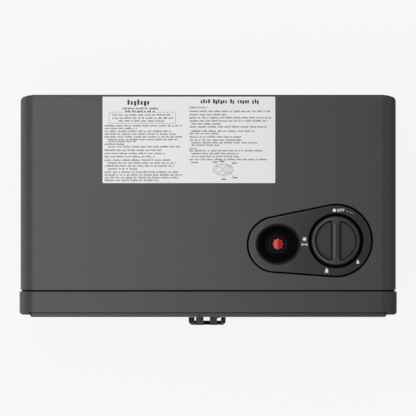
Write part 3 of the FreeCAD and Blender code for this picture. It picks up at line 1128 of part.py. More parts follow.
# ---- All nodes ----------------------------------------------------------------------------------
def nodes():
    """Every piece by name."""
    feet = [(x, y) for x in FOOT_XS for y in FOOT_YS]
    return {
        "upper_cover": upper_cover(),
        "base_pan": base_pan(),
        "rear_panel": rear_panel(),
        "exhaust_grille": exhaust_grille(),
        "front_frame": front_frame(),
        "seam_gasket": seam_gasket(),
        "connection_bay": connection_bay(),
        "grip_cup_left": grip_cup(-1),
        "grip_cup_right": grip_cup(1),
        "rubber_feet": group(foot(x, y) for x, y in feet),
        "foot_screws": group(foot_screw(x, y) for x, y in feet),
        "case_screws": group(case_screws()),
        "bay_screws": group(screw((x, FRAME_FRONT_Y, z), (0, 1, 0), *BAY_SCREW) for x, z in BAY_SCREWS),
        "label": label(),
        "door_magnets": group(door_magnet(x, z) for x, z in MAGNETS),
        "hinge_pins": group(hinge_pin(x) for x in HINGE_XS),
        "front_door": front_door(),
        "door_seal": door_seal(),
        "strike_plates": group(strike_plate(x, z) for x, z in MAGNETS),
        "pull_bracket": pull_bracket(),
        "bracket_screws": group(bracket_screw(z) for z in BRACKET_SCREW_ZS),
        "pull_pin": pull_pins(),
        "pull_bail": pull_bail(),
        "control_panel": control_panel(),
        "knob_well": knob_well(),
        "gas_knob": gas_knob(),
        "valve_spindle": valve_spindle(),
        "valve_plunger": valve_plunger(),
        "knob_spring": knob_spring(),
        "gas_valve": gas_valve(),
        "igniter_cup": igniter_cup(),
        "igniter_body": igniter_body(),
        "igniter_nut": igniter_nut(),
        "igniter_button": igniter_button(),
        "igniter_spring": igniter_spring(),
        "igniter_lead": igniter_lead(),
        "gas_inlet_fitting": gas_inlet_fitting(),
        "gas_inlet_pipe": gas_inlet_pipe(),
        "gas_regulator": gas_regulator(),
        "regulated_gas_pipe": regulated_gas_pipe(),
        "gas_feed_pipe": gas_feed_pipe(),
        "gas_manifold": gas_manifold(),
        "injectors": group(injector(x) for x in burner_xs()),
        "burner_bars": group(burner_bar(x) for x in burner_xs()),
        "burner_rack": burner_rack(),
        "spark_electrode": spark_electrode(),
        "thermocouple": thermocouple(),
        "thermocouple_lead": thermocouple_lead(),
        "combustion_chamber": combustion_chamber(),
        "exchanger_fins": exchanger_fins(),
        "exchanger_tube": exchanger_tube(),
        "flue_hood": flue_hood(),
        "overheat_sensor": overheat_sensor(),
        "water_inlet_fitting": water_inlet_fitting(),
        "inlet_filter": inlet_filter(),
        "flow_valve": flow_valve(),
        "drain_plug": drain_plug(),
        "cold_pipe": cold_pipe(),
        "hot_pipe": hot_pipe(),
        "water_outlet_fitting": water_outlet_fitting(),
    }


os.makedirs("parts", exist_ok=True)
for name, shape in nodes().items():
    shape.exportStep("parts/%s.step" % name)
    valid = all(solid.isValid() and solid.Volume > 0 for solid in shape.Solids)
    print("%-22s %2d solids %12.1f mm3" % (name, len(shape.Solids), shape.Volume), "ok" if valid else "BAD")
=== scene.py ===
"""Portable propane water heater: finishes, printed marks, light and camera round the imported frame.

The frame's axes: X to the right, Y to the back, Z up from the floor. Lengths are metres, except in the
classes whose docstrings say millimetres.
"""

import json
import logging
import math
from dataclasses import dataclass, field
from enum import Enum

import bpy
import numpy as np
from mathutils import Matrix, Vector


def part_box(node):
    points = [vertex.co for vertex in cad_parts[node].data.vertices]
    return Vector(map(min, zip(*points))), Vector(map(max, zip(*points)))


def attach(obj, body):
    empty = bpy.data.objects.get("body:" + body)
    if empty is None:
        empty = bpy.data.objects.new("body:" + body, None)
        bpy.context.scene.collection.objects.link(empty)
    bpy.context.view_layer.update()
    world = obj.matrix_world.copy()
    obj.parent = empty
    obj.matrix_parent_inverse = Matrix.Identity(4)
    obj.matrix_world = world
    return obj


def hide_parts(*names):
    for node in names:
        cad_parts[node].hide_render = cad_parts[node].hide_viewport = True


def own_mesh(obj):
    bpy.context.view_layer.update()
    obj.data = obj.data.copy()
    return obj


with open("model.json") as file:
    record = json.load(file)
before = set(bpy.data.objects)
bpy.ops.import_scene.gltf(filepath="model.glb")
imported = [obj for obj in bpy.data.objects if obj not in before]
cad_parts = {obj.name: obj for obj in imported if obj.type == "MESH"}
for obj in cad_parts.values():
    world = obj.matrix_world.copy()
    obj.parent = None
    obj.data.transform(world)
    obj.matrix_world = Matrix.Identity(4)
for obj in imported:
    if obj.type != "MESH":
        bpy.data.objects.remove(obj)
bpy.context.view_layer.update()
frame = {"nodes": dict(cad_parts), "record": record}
LOG = logging.getLogger("water_heater")
MM = 0.001

Pair = tuple[float, float]
Triple = tuple[float, float, float]
Socket = bpy.types.NodeSocket


# ---- Shader node groups --------------------------------------------------------------------------
class Pattern(Enum):
    """Node groups that the finishes are made of."""

    GRAIN = "grain"
    BRUSHED = "brushed"
    PAINTED_SHADE = "depth"


class Nodes:
    """Node tree that nodes are added to."""

    def __init__(self, tree: bpy.types.NodeTree) -> None:
        """Takes the tree."""
        self.tree = tree

    def feed(self, source: object, target: Socket) -> None:
        """Links a socket to the target, or writes a value there.

        Args:
            source: Socket, number or colour.
            target: Input that takes it.
        """
        if isinstance(source, Socket):
            self.tree.links.new(source, target)
        else:
            target.default_value = source

    def fill(self, node: bpy.types.Node, inputs: dict[str, object]) -> None:
        """Feeds the named inputs of a node."""
        for label, source in inputs.items():
            self.feed(source, node.inputs[label])

    def add(self, kind: str, inputs: dict[str, object] | None = None, **settings: object) -> bpy.types.Node:
        """Adds a node.

        Args:
            kind: Type of the node.
            inputs: Source of each input, by name.
            **settings: Value of each property, set before the inputs.

        Returns:
            The new node.
        """
        node = self.tree.nodes.new(kind)
        for name, value in settings.items():
            setattr(node, name, value)
        self.fill(node, inputs or {})
        return node

    def math(self, operation: str, *sources: object) -> Socket:
        """Adds a Math node.

        Args:
            operation: What it does.
            *sources: Socket or number for each of its inputs.

        Returns:
            Its output.
        """
        node = self.add("ShaderNodeMath", operation=operation)
        for source, target in zip(sources, node.inputs):
            self.feed(source, target)
        return node.outputs[0]


class NodeGroup(Nodes):
    """Node group that reads a vector and named numbers and gives named numbers."""

    def __init__(self, pattern: Pattern, inputs: tuple[str, ...], outputs: tuple[str, ...]) -> None:
        """Makes the group with nothing between its ends.

        Args:
            pattern: Which group it is.
            inputs: Names of the numbers that go in.
            outputs: Names of the numbers that come out.
        """
        super().__init__(bpy.data.node_groups.new(pattern.value, "ShaderNodeTree"))
        face = self.tree.interface
        face.new_socket("Vector", in_out="INPUT", socket_type="NodeSocketVector").hide_value = True
        for label in inputs:
            face.new_socket(label, in_out="INPUT", socket_type="NodeSocketFloat")
        for label in outputs:
            face.new_socket(label, in_out="OUTPUT", socket_type="NodeSocketFloat")
        self.entry = self.add("NodeGroupInput")
        self.exit = self.add("NodeGroupOutput")


class NoiseGroup(NodeGroup):
    """Pattern of a fine and a slow noise."""

    def __init__(self, pattern: Pattern) -> None:
        """Makes the group with the sockets that every pattern has."""
        super().__init__(pattern, ("Scale", "Speckle", "Cloud", "Blotch"), ("Shade", "Height", "Rough"))

    def noise(self, vector: Socket, scale: object, detail: float) -> Socket:
        """Adds a noise of that scale and number of octaves, read at the vector, and returns it."""
        node = self.add("ShaderNodeTexNoise", {"Vector": vector, "Scale": scale, "Detail": detail})
        return node.outputs["Fac"]

    def share(self, noise: Socket, label: str) -> Socket:
        """Noise centred on zero, times the input of that name."""
        return self.math("MULTIPLY", self.math("SUBTRACT", noise, 0.5), self.entry.outputs[label])

    def close(self, fine: Socket, slow: Socket, rough: Socket, height: Socket) -> bpy.types.NodeTree:
        """Feeds the outputs.

        Shade is one plus the fine noise times Speckle plus the slow noise times Cloud, and Rough is a
        noise times Blotch. Each noise is centred on zero first.

        Args:
            fine: Noise behind Speckle.
            slow: Noise behind Cloud.
            rough: Noise behind Blotch.
            height: What the output Height gives.

        Returns:
            The node tree.
        """
        both = self.math("ADD", self.share(fine, "Speckle"), self.share(slow, "Cloud"))
        rough = self.share(rough, "Blotch")
        self.fill(self.exit, {"Shade": self.math("ADD", both, 1.0), "Height": height, "Rough": rough})
        return self.tree


def grain_group() -> bpy.types.NodeTree:
    """Orange-peel grain of a coat or a moulding.

    Height is the fine noise with rounded tops, and the slow noise makes the blotches.

    Returns:
        The node tree.
    """
    slow_scale, top, rounding = 14.0, 0.6, 0.2
    group = NoiseGroup(Pattern.GRAIN)
    vector = group.entry.outputs["Vector"]
    fine = group.noise(vector, group.entry.outputs["Scale"], detail=2.0)
    slow = group.noise(vector, slow_scale, detail=3.0)
    return group.close(fine, slow, slow, group.math("SMOOTH_MIN", fine, top, rounding))


def brushed_group() -> bpy.types.NodeTree:
    """Fine parallel scratches with slow tarnish.

    The fine noise is stretched along X. It also gives Height and the blotches.

    Returns:
        The node tree.
    """
    squeeze, slow_scale = (0.05, 1.0, 1.0), 45.0
    group = NoiseGroup(Pattern.BRUSHED)
    vector = group.entry.outputs["Vector"]
    stretched = group.add("ShaderNodeMapping", {"Vector": vector, "Scale": squeeze}).outputs["Vector"]
    streaks = group.noise(stretched, group.entry.outputs["Scale"], detail=3.0)
    slow = group.noise(vector, slow_scale, detail=2.0)
    return group.close(streaks, slow, streaks, streaks)


def painted_shade_group() -> bpy.types.NodeTree:
    """Painted shade that darkens a colour below a height.

    Shade is one above the height Top, and falls evenly to Floor at the height Low.

    Returns:
        The node tree.
    """
    group = NodeGroup(Pattern.PAINTED_SHADE, ("Top", "Low", "Floor"), ("Shade",))
    read = group.entry.outputs
    height = group.add("ShaderNodeSeparateXYZ", {"Vector": read["Vector"]}).outputs["Z"]
    fall = group.add("ShaderNodeMapRange", {
        "Value": height, "From Min": read["Low"], "From Max": read["Top"], "To Min": read["Floor"],
    })
    group.feed(fall.outputs["Result"], group.exit.inputs["Shade"])
    return group.tree


# ---- Finishes ------------------------------------------------------------------------------------
COAT_ROUGHNESS = 0.12
CLOUD_SHARE = 0.6
BUMP_HEIGHT = 0.0001


def linear(level: float) -> float:
    """Linear value of a display level between 0 and 1."""
    return level / 12.92 if level <= 0.04045 else ((level + 0.055) / 1.055) ** 2.4


@dataclass(frozen=True)
class Finish:
    """Surface finish: a Principled shader with one of the noise patterns behind it.

    The colour is in display levels. A sunk finish has painted shade: its colour darkens between two heights
    in metres, down to a share, and where asked it also loses its reflections there, as painted shade too.
    """

    name: str
    colour: Triple
    roughness: float
    metallic: float = 0.0
    coat: float = 0.0
    specular: float = 0.5
    ior: float = 1.5
    pattern: Pattern = Pattern.GRAIN
    scale: float = 900.0
    relief: float = 0.1
    spread: float = 0.06
    blotch: float = 0.05
    sunk: Triple | None = None
    shade_dims_gloss: bool = False

    def material(self, groups: dict[Pattern, bpy.types.NodeTree]) -> bpy.types.Material:
        """Builds the material.

        Args:
            groups: The node groups.

        Returns:
            The new material.
        """
        made = bpy.data.materials.new(self.name)
        made.use_nodes = True
        nodes = Nodes(made.node_tree)
        place = nodes.add("ShaderNodeTexCoord").outputs["Object"]
        numbers = {"Vector": place, "Scale": self.scale, "Speckle": self.spread,
                   "Cloud": CLOUD_SHARE * self.spread, "Blotch": self.blotch}
        pattern = nodes.add("ShaderNodeGroup", numbers, node_tree=groups[self.pattern]).outputs
        shade, gloss = pattern["Shade"], self.specular
        # Painted shade: the colour darkens below a height, and where asked the reflections too.
        if self.sunk:
            numbers = {"Vector": place, **dict(zip(("Top", "Low", "Floor"), self.sunk))}
            depth = nodes.add("ShaderNodeGroup", numbers, node_tree=groups[Pattern.PAINTED_SHADE]).outputs["Shade"]
            shade = nodes.math("MULTIPLY", shade, depth)
            if self.shade_dims_gloss:
                gloss = nodes.math("MULTIPLY", depth, self.specular)
        colour = (*(linear(c) for c in self.colour), 1.0)
        tint = nodes.add("ShaderNodeMix", {"Factor": 1.0, "A": colour, "B": shade},
                         data_type="RGBA", blend_type="MULTIPLY")
        bump = nodes.add("ShaderNodeBump", {
            "Strength": self.relief, "Distance": BUMP_HEIGHT, "Height": pattern["Height"],
        })
        nodes.fill(made.node_tree.nodes["Principled BSDF"], {
            "Base Color": tint.outputs["Result"],
            "Metallic": self.metallic,
            "Roughness": nodes.math("ADD", pattern["Rough"], self.roughness),
            "IOR": self.ior,
            "Specular IOR Level": gloss,
            "Coat Weight": self.coat,
            "Coat Roughness": COAT_ROUGHNESS,
            "Normal": bump.outputs["Normal"],
        })
        return made


STEEL = Pattern.BRUSHED
INKS = {
    "ink_dark": (0.170, 0.170, 0.175), "ink_grey": (0.290, 0.290, 0.295),
    "ink_pale": (0.560, 0.560, 0.555), "ink_white": (0.930, 0.930, 0.925),
}
FINISHES = [
    Finish("case_coat", (0.244, 0.246, 0.244), 0.40, scale=1400.0, relief=0.22),
    Finish("frame_plastic", (0.230, 0.232, 0.230), 0.40, scale=1700.0, relief=0.20),
    Finish("door_plastic", (0.230, 0.232, 0.230), 0.40, scale=1700.0, relief=0.20),
    # Painted shade: the panel darkens to a share of 0.06 below its top, on the walls of its groove.
    Finish("panel_plastic", (0.085, 0.085, 0.085), 0.20, specular=1.0, ior=1.6, scale=2400.0, relief=0.05,
           sunk=(0.1490, 0.1476, 0.06)),
    Finish("knob_plastic", (0.195, 0.195, 0.197), 0.34, scale=2400.0, relief=0.10),
    Finish("black_plastic", (0.042, 0.042, 0.043), 0.50, specular=0.12, scale=2200.0, relief=0.15),
    # Painted shade: near-black colour of the pieces that stand for shade in the groove, the knob's recesses
    # and the door's hole.
    Finish("painted_shade_black", (0.008, 0.008, 0.008), 0.80, specular=0.04, scale=2200.0, relief=0.15),
    # Painted shade: the pull darkens below a height and loses its reflections there, so its lower faces read
    # black.
    Finish("pull_plastic", (0.060, 0.060, 0.061), 0.32, scale=2200.0, relief=0.10,
           sunk=(0.12005, 0.1196, 0.10), shade_dims_gloss=True),
    # Painted shade: the bail darkens towards its foot and loses its reflections there.
    Finish("bail_plastic", (0.230, 0.230, 0.231), 0.42, scale=2200.0, relief=0.10,
           sunk=(0.108, 0.1015, 0.06), shade_dims_gloss=True),
    Finish("button_red", (0.700, 0.075, 0.070), 0.24, coat=0.3, scale=800.0, relief=0.03),
    Finish("label_film", (0.935, 0.935, 0.928), 0.50, scale=1800.0, relief=0.05, spread=0.015),
    Finish("foot_rubber", (0.050, 0.050, 0.050), 0.75, scale=2600.0, relief=0.30),
    Finish("seal_foam", (0.090, 0.090, 0.090), 0.85, scale=3200.0, relief=0.60),
    Finish("panel_steel", (0.240, 0.242, 0.240), 0.42, scale=1400.0, relief=0.22),
    Finish("grille_steel", (0.090, 0.090, 0.090), 0.60, scale=1500.0, relief=0.30),
    Finish("screw_steel", (0.620, 0.620, 0.630), 0.34, 1.0, pattern=STEEL, scale=3000.0, blotch=0.15),
    Finish("sheet_steel", (0.700, 0.700, 0.690), 0.36, 1.0, pattern=STEEL, scale=900.0, blotch=0.15),
    Finish("magnet_ferrite", (0.150, 0.150, 0.160), 0.55, scale=2600.0, relief=0.20),
    Finish("copper", (0.780, 0.450, 0.320), 0.30, 1.0, pattern=STEEL, scale=600.0, spread=0.12, blotch=0.12),
    Finish("brass", (0.800, 0.660, 0.360), 0.28, 1.0, pattern=STEEL, scale=1500.0, spread=0.08, blotch=0.10),
    Finish("cast_aluminium", (0.680, 0.680, 0.690), 0.48, 1.0, scale=1500.0, relief=0.30),
    Finish("ceramic", (0.920, 0.900, 0.860), 0.18, coat=0.5, scale=900.0, relief=0.03),
    Finish("lead_silicone", (0.650, 0.120, 0.080), 0.50, scale=1500.0, relief=0.05),
    Finish("filter_plastic", (0.850, 0.870, 0.880), 0.40, scale=2000.0, relief=0.05),
    *(Finish(name, colour, 0.55, scale=1800.0, relief=0.05) for name, colour in INKS.items()),
    Finish("label_margin", (0.975, 0.975, 0.970), 0.45, scale=1800.0, relief=0.05, spread=0.01),
    Finish("mouth_red", (0.150, 0.026, 0.026), 0.30, scale=1200.0, relief=0.05),
]


class Wardrobe:
    """Materials of the object, each built once."""

    changed: dict[str, str] = {
        "seam_gasket": "black_plastic", "pull_pin": "black_plastic", "pull_bail": "bail_plastic",
    }

    def __init__(self) -> None:
        """Builds the node groups."""
        self.groups = {
            Pattern.GRAIN: grain_group(), Pattern.BRUSHED: brushed_group(), Pattern.PAINTED_SHADE: painted_shade_group(),
        }
        self.known = {finish.name: finish for finish in FINISHES}
        self.made: dict[str, bpy.types.Material] = {}

    def get(self, name: str) -> bpy.types.Material:
        """Material of a finish, built the first time it is asked for.

        Args:
            name: Name of the finish.

        Returns:
            The material.
        """
        if name not in self.made:
            self.made[name] = self.known[name].material(self.groups)
        return self.made[name]

    def dress_nodes(self) -> None:
        """Gives every CAD node the finish that the record names for it, or its changed one."""
        for entry in frame["record"]["subparts"]:
            node = frame["nodes"][entry["node"]]
            finish = self.changed.get(entry["node"], entry["material_slot"])
            for part in node.material_slots:
                part.material = self.get(finish)


# ---- Meshes --------------------------------------------------------------------------------------
def place_piece(name: str, vertices: np.ndarray, faces: list, finish: str, body: str,
                wardrobe: Wardrobe, smooth: bool = False) -> bpy.types.Object:
    """Makes a mesh object at the origin and lets it ride on a body.

    Args:
        name: Name of the piece.
        vertices: Corners in metres, one row each.
        faces: Corner numbers of each face, counter-clockwise seen from outside.
        finish: Name of the finish.
        body: Body that the piece rides on.
        wardrobe: Where the materials come from.
        smooth: Whether the faces are shaded smooth.

    Returns:
        The new object.
    """
    mesh = bpy.data.meshes.new(name)
    mesh.from_pydata(np.asarray(vertices, float).tolist(), [], faces)
    mesh.polygons.foreach_set("use_smooth", [smooth] * len(mesh.polygons))
    mesh.update()
    mesh.materials.append(wardrobe.get(finish))
    piece = bpy.data.objects.new(name, mesh)
    bpy.context.scene.collection.objects.link(piece)
    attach(piece, body)
    LOG.info("%s: %d faces", name, len(faces))
    return piece


def wrapped_grid(rows: int, columns: int, close_rows: bool = False) -> list:
    """Faces of a grid whose columns close on themselves, and its rows too where asked.

    Corner (i, j) has the number i * columns + j.

    Args:
        rows: Number of rows of corners.
        columns: Number of corners in a row.
        close_rows: Whether the last row joins the first.

    Returns:
        Corner numbers of the quads.
    """
    lines = np.arange(rows if close_rows else rows - 1)
    i, j = np.meshgrid(lines, np.arange(columns), indexing="ij")
    here, below, beside = i * columns, (i + 1) % rows * columns, (j + 1) % columns
    return np.stack([here + j, here + beside, below + beside, below + j], axis=-1).reshape(-1, 4).tolist()


def capped_grid(rows: int, columns: int) -> list:
    """Faces of a grid whose columns close on themselves, with one face over each open end."""
    row = np.arange(columns)
    return wrapped_grid(rows, columns) + [row[::-1].tolist(), (row + (rows - 1) * columns).tolist()]


@dataclass
class Film:
    """Ink or film: flat closed shapes of one thin layer, between two heights. Lengths in millimetres."""

    low: float
    high: float
    points: list[np.ndarray] = field(default_factory=list)
    quads: list[np.ndarray] = field(default_factory=list)
    caps: list[np.ndarray] = field(default_factory=list)
    count: int = 0

    def add(self, flat: np.ndarray, quads: np.ndarray, caps: list[np.ndarray]) -> None:
        """Adds the flat points at the upper level and then at the lower one, with their faces.

        Args:
            flat: Points of the layer.
            quads: Four corner numbers in each row, counted from the first new corner.
            caps: Faces of any number of corners, counted likewise.
        """
        n = len(flat)
        both = np.column_stack([np.tile(flat, (2, 1)), np.repeat([self.high, self.low], n)])
        self.points.append(both * MM)
        self.quads.append(quads + self.count)
        self.caps += [cap + self.count for cap in caps]
        self.count += 2 * n

    def polygon(self, outline: np.ndarray) -> None:
        """Filled shape.

        Args:
            outline: Its corners, counter-clockwise.
        """
        n = len(outline)
        k = np.arange(n)
        ahead = np.roll(k, -1)
        sides = np.stack([k, n + k, n + ahead, ahead], 1)
        self.add(np.asarray(outline, float), sides, [k, (k + n)[::-1]])

    def ribbon(self, path: np.ndarray, width: float, closed: bool = False) -> None:
        """Stroke of even width: the path moved to both sides along its normal.

        Args:
            path: Points of the stroke's middle.
            width: Width of the stroke.
            closed: Whether the stroke's end meets its start.
        """
        path = np.asarray(path, float)
        n = len(path)
        tangent = np.roll(path, -1, 0) - np.roll(path, 1, 0) if closed else np.gradient(path, axis=0)
        tangent /= np.linalg.norm(tangent, axis=1)[:, None]
        across = np.column_stack([-tangent[:, 1], tangent[:, 0]]) * width / 2
        k = np.arange(n if closed else n - 1)
        ahead, low = (k + 1) % n, 2 * n
        quads = np.concatenate([
            np.stack([k, n + k, n + ahead, ahead], 1),
            np.stack([low + k, low + ahead, low + n + ahead, low + n + k], 1),
            np.stack([k, ahead, low + ahead, low + k], 1),
            np.stack([n + k, low + n + k, low + n + ahead, n + ahead], 1),
        ])
        if not closed:
            ends = [[0, low, low + n, n], [n - 1, 2 * n - 1, low + 2 * n - 1, low + n - 1]]
            quads = np.concatenate([quads, ends])
        self.add(np.concatenate([path + across, path - across]), quads, [])

    def blocks(self, boxes: np.ndarray) -> None:
        """Many upright rectangles.

        Args:
            boxes: Left, right, lower and upper edge of each.
        """
        boxes = np.asarray(boxes, float)
        n = len(boxes)
        flat = np.stack([boxes[:, [0, 1, 1, 0]], boxes[:, [2, 2, 3, 3]]], -1).reshape(-1, 2)
        a, b, c, d = (4 * np.arange(n)[:, None] + np.arange(4)).T
        low = 4 * n
        sides = [np.stack([u, u + low, v + low, v], 1) for u, v in ((a, b), (b, c), (c, d), (d, a))]
        levels = [np.stack([a, b, c, d], 1), np.stack([d, c, b, a], 1) + low]
        self.add(flat, np.concatenate(levels + sides), [])

    def piece(self, name: str, finish: str, slot: str, wardrobe: Wardrobe, body: str = "root") -> None:
        """Makes one piece of all that was added; it rides on the case unless another body is named."""
        faces = np.concatenate(self.quads).tolist() + [cap.tolist() for cap in self.caps]
        place_piece(name, np.concatenate(self.points), faces, finish, body, wardrobe)


def middle_of(node: str) -> Pair:
    """Middle of a CAD node seen from above, in millimetres."""
    low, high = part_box(node)
    return (low[0] + high[0]) / 2 / MM, (low[1] + high[1]) / 2 / MM


def polar(middle: Pair, reach: object, degrees: object) -> np.ndarray:
    """Points round a middle: the middle plus the reach times (cosine, sine) of the angle."""
    reach, angle = np.asarray(reach), np.radians(degrees)
    return np.column_stack([middle[0] + reach * np.cos(angle), middle[1] + reach * np.sin(angle)])


def arc(x: float, y: float, r: float, start: float, end: float, count: int) -> np.ndarray:
    """Points on a circle of radius r round (x, y), at evenly spaced angles in degrees."""
    return polar((x, y), r, np.linspace(start, end, count))


def circle(x: float, y: float, r: float, count: int) -> np.ndarray:
    """Points of a full circle, its start not repeated."""
    return arc(x, y, r, 0.0, 360.0 * (count - 1) / count, count)


# ---- Print on the control panel ------------------------------------------------------------------
@dataclass(frozen=True)
class ControlPrint:
    """White marks round the knob: off, spark and two flames.

    Lengths in millimetres. A mark's place is counted from the knob's middle.
    """

    wardrobe: Wardrobe
    knob: Pair = (125.4, -30.3)
    surface: float = 149.0
    sunk: float = 0.01
    thickness: float = 0.05
    dot_at: Pair = (-1.9, 30.0)
    dot_radius: float = 1.62
    word_at: Pair = (0.9, 28.5)
    letter_height: float = 3.0
    stroke: float = 0.50
    arrow_radius: float = 31.0
    spark_at: Pair = (-31.1, 1.8)
    bar_at: Pair = (-31.1, -3.4)

    def film(self) -> Film:
        """Empty ink layer on the panel."""
        return Film(self.surface - self.sunk, self.surface + self.thickness)

    def spot(self, place: Pair) -> Pair:
        """Place of a mark in the frame."""
        return self.knob[0] + place[0], self.knob[1] + place[1]

    def off_dot(self) -> None:
        """Round dot beside the word."""
        film = self.film()
        film.polygon(circle(*self.spot(self.dot_at), self.dot_radius, count=48))
        film.piece("off_dot", "ink_white", "label_film", self.wardrobe)

    def off_word(self) -> None:
        """The word OFF: an oval, and twice a stem with two bars."""
        x, y = self.spot(self.word_at)
        oval_half, oval_middle = (0.86, 1.22), (x + 1.15, y + self.letter_height / 2)
        stems, bar_start, bars = (3.1, 5.55), 0.31, ((2.69, 1.75), (1.45, 1.5))
        film = self.film()
        film.ribbon(circle(0.0, 0.0, 1.0, count=48) * oval_half + oval_middle, self.stroke, closed=True)
        for left in (x + stem for stem in stems):
            film.ribbon([(left, y), (left, y + self.letter_height)], self.stroke)
            for rise, reach in bars:
                film.ribbon([(left + bar_start, y + rise), (left + reach, y + rise)], self.stroke)
        film.piece("off_word", "ink_white", "label_film", self.wardrobe)

    def turn_arrow(self) -> None:
        """Short curved arrow that follows the knob, with three ticks across its tail."""
        bow, bow_width = (69.5, 57.5), 0.32
        head, head_reach = (72.4, 69.2, 69.2), (self.arrow_radius, 31.8, 30.2)
        ticks, tick_reach, tick_width = (58.6, 61.4, 64.2), (31.3, 32.6), 0.42
        film = self.film()
        film.ribbon(arc(*self.knob, self.arrow_radius, *bow, count=14), bow_width)
        film.polygon(polar(self.knob, head_reach, head)[::-1])
        for angle in ticks:
            film.ribbon(polar(self.knob, tick_reach, angle), tick_width)
        film.piece("turn_arrow", "ink_pale", "label_film", self.wardrobe)

    def spark(self) -> None:
        """Burst with eight rays over a bar with upright ends.

        Of the burst's 32 corners, every fourth is a ray's tip, and the corner between two tips lies
        further in than its neighbours.
        """
        tip, shoulder, valley, corners = 2.7, 1.45, 1.15, 32
        bar_half, bar_width, end_at, end_half, end_width = 2.6, 0.85, 2.45, 1.35, 0.8
        corner = np.arange(corners)
        reach = np.where(corner % 4 == 0, tip, np.where(corner % 4 == 2, valley, shoulder))
        film = self.film()
        film.polygon(polar(self.spot(self.spark_at), reach, corner * 360.0 / corners))
        x, y = self.spot(self.bar_at)
        film.ribbon([(x - bar_half, y), (x + bar_half, y)], bar_width)
        for end in (x - end_at, x + end_at):
            film.ribbon([(end, y - end_half), (end, y + end_half)], end_width)
        film.piece("spark_mark", "ink_white", "label_film", self.wardrobe)

    def flame(self, name: str, place: Pair, width: float, height: float) -> None:
        """Flame with a hollow foot.

        Half the width of the outline at a share t of its height is the square root of t times a
        falling curve, so the foot is round and the tip is sharp; the tip leans a little. The hollow is
        a parabola.

        Args:
            name: Name of the piece.
            place: Place of its middle.
            width: Greatest width.
            height: Height.
        """
        taper, lean_share, hollow_half, hollow_height, lift = 1.15, 0.10, 0.13, 0.42, 0.02
        x, y = self.spot(place)
        y -= height / 2
        t = np.linspace(0.0, 1.0, 22)
        half = np.sqrt(t) * (1.0 - t) ** taper
        half *= 0.5 * width / half.max()
        lean = lean_share * width * np.sin(math.pi * t)
        right = np.column_stack([x + lean + half, y + t * height])
        left = np.column_stack([x + lean - half, y + t * height])
        u = np.linspace(1.0, -1.0, 9)[1:-1]
        rise = lift + hollow_height * height * (1.0 - u ** 2)
        hollow = np.column_stack([x - u * hollow_half * width, y + rise])
        film = self.film()
        film.polygon(np.concatenate([right[2:], left[-2:1:-1], hollow]))
        film.piece(name, "ink_white", "label_film", self.wardrobe)

    def build(self) -> None:
        """Builds every mark."""
        self.off_dot()
        self.off_word()
        self.turn_arrow()
        self.spark()
        self.flame("flame_mark_large", (-9.7, -29.0), 3.3, 6.0)
        self.flame("flame_mark_small", (20.9, -20.6), 2.6, 4.8)


# ---- Print on the label --------------------------------------------------------------------------
@dataclass(frozen=True)
class Row:
    """Row of greeked print: where it stands and how large its blocks are, in millimetres."""

    left: float
    right: float
    y: float
    block: float = 0.74
    gap: float = 0.22
    height: float = 1.15
    word: float = 1.15


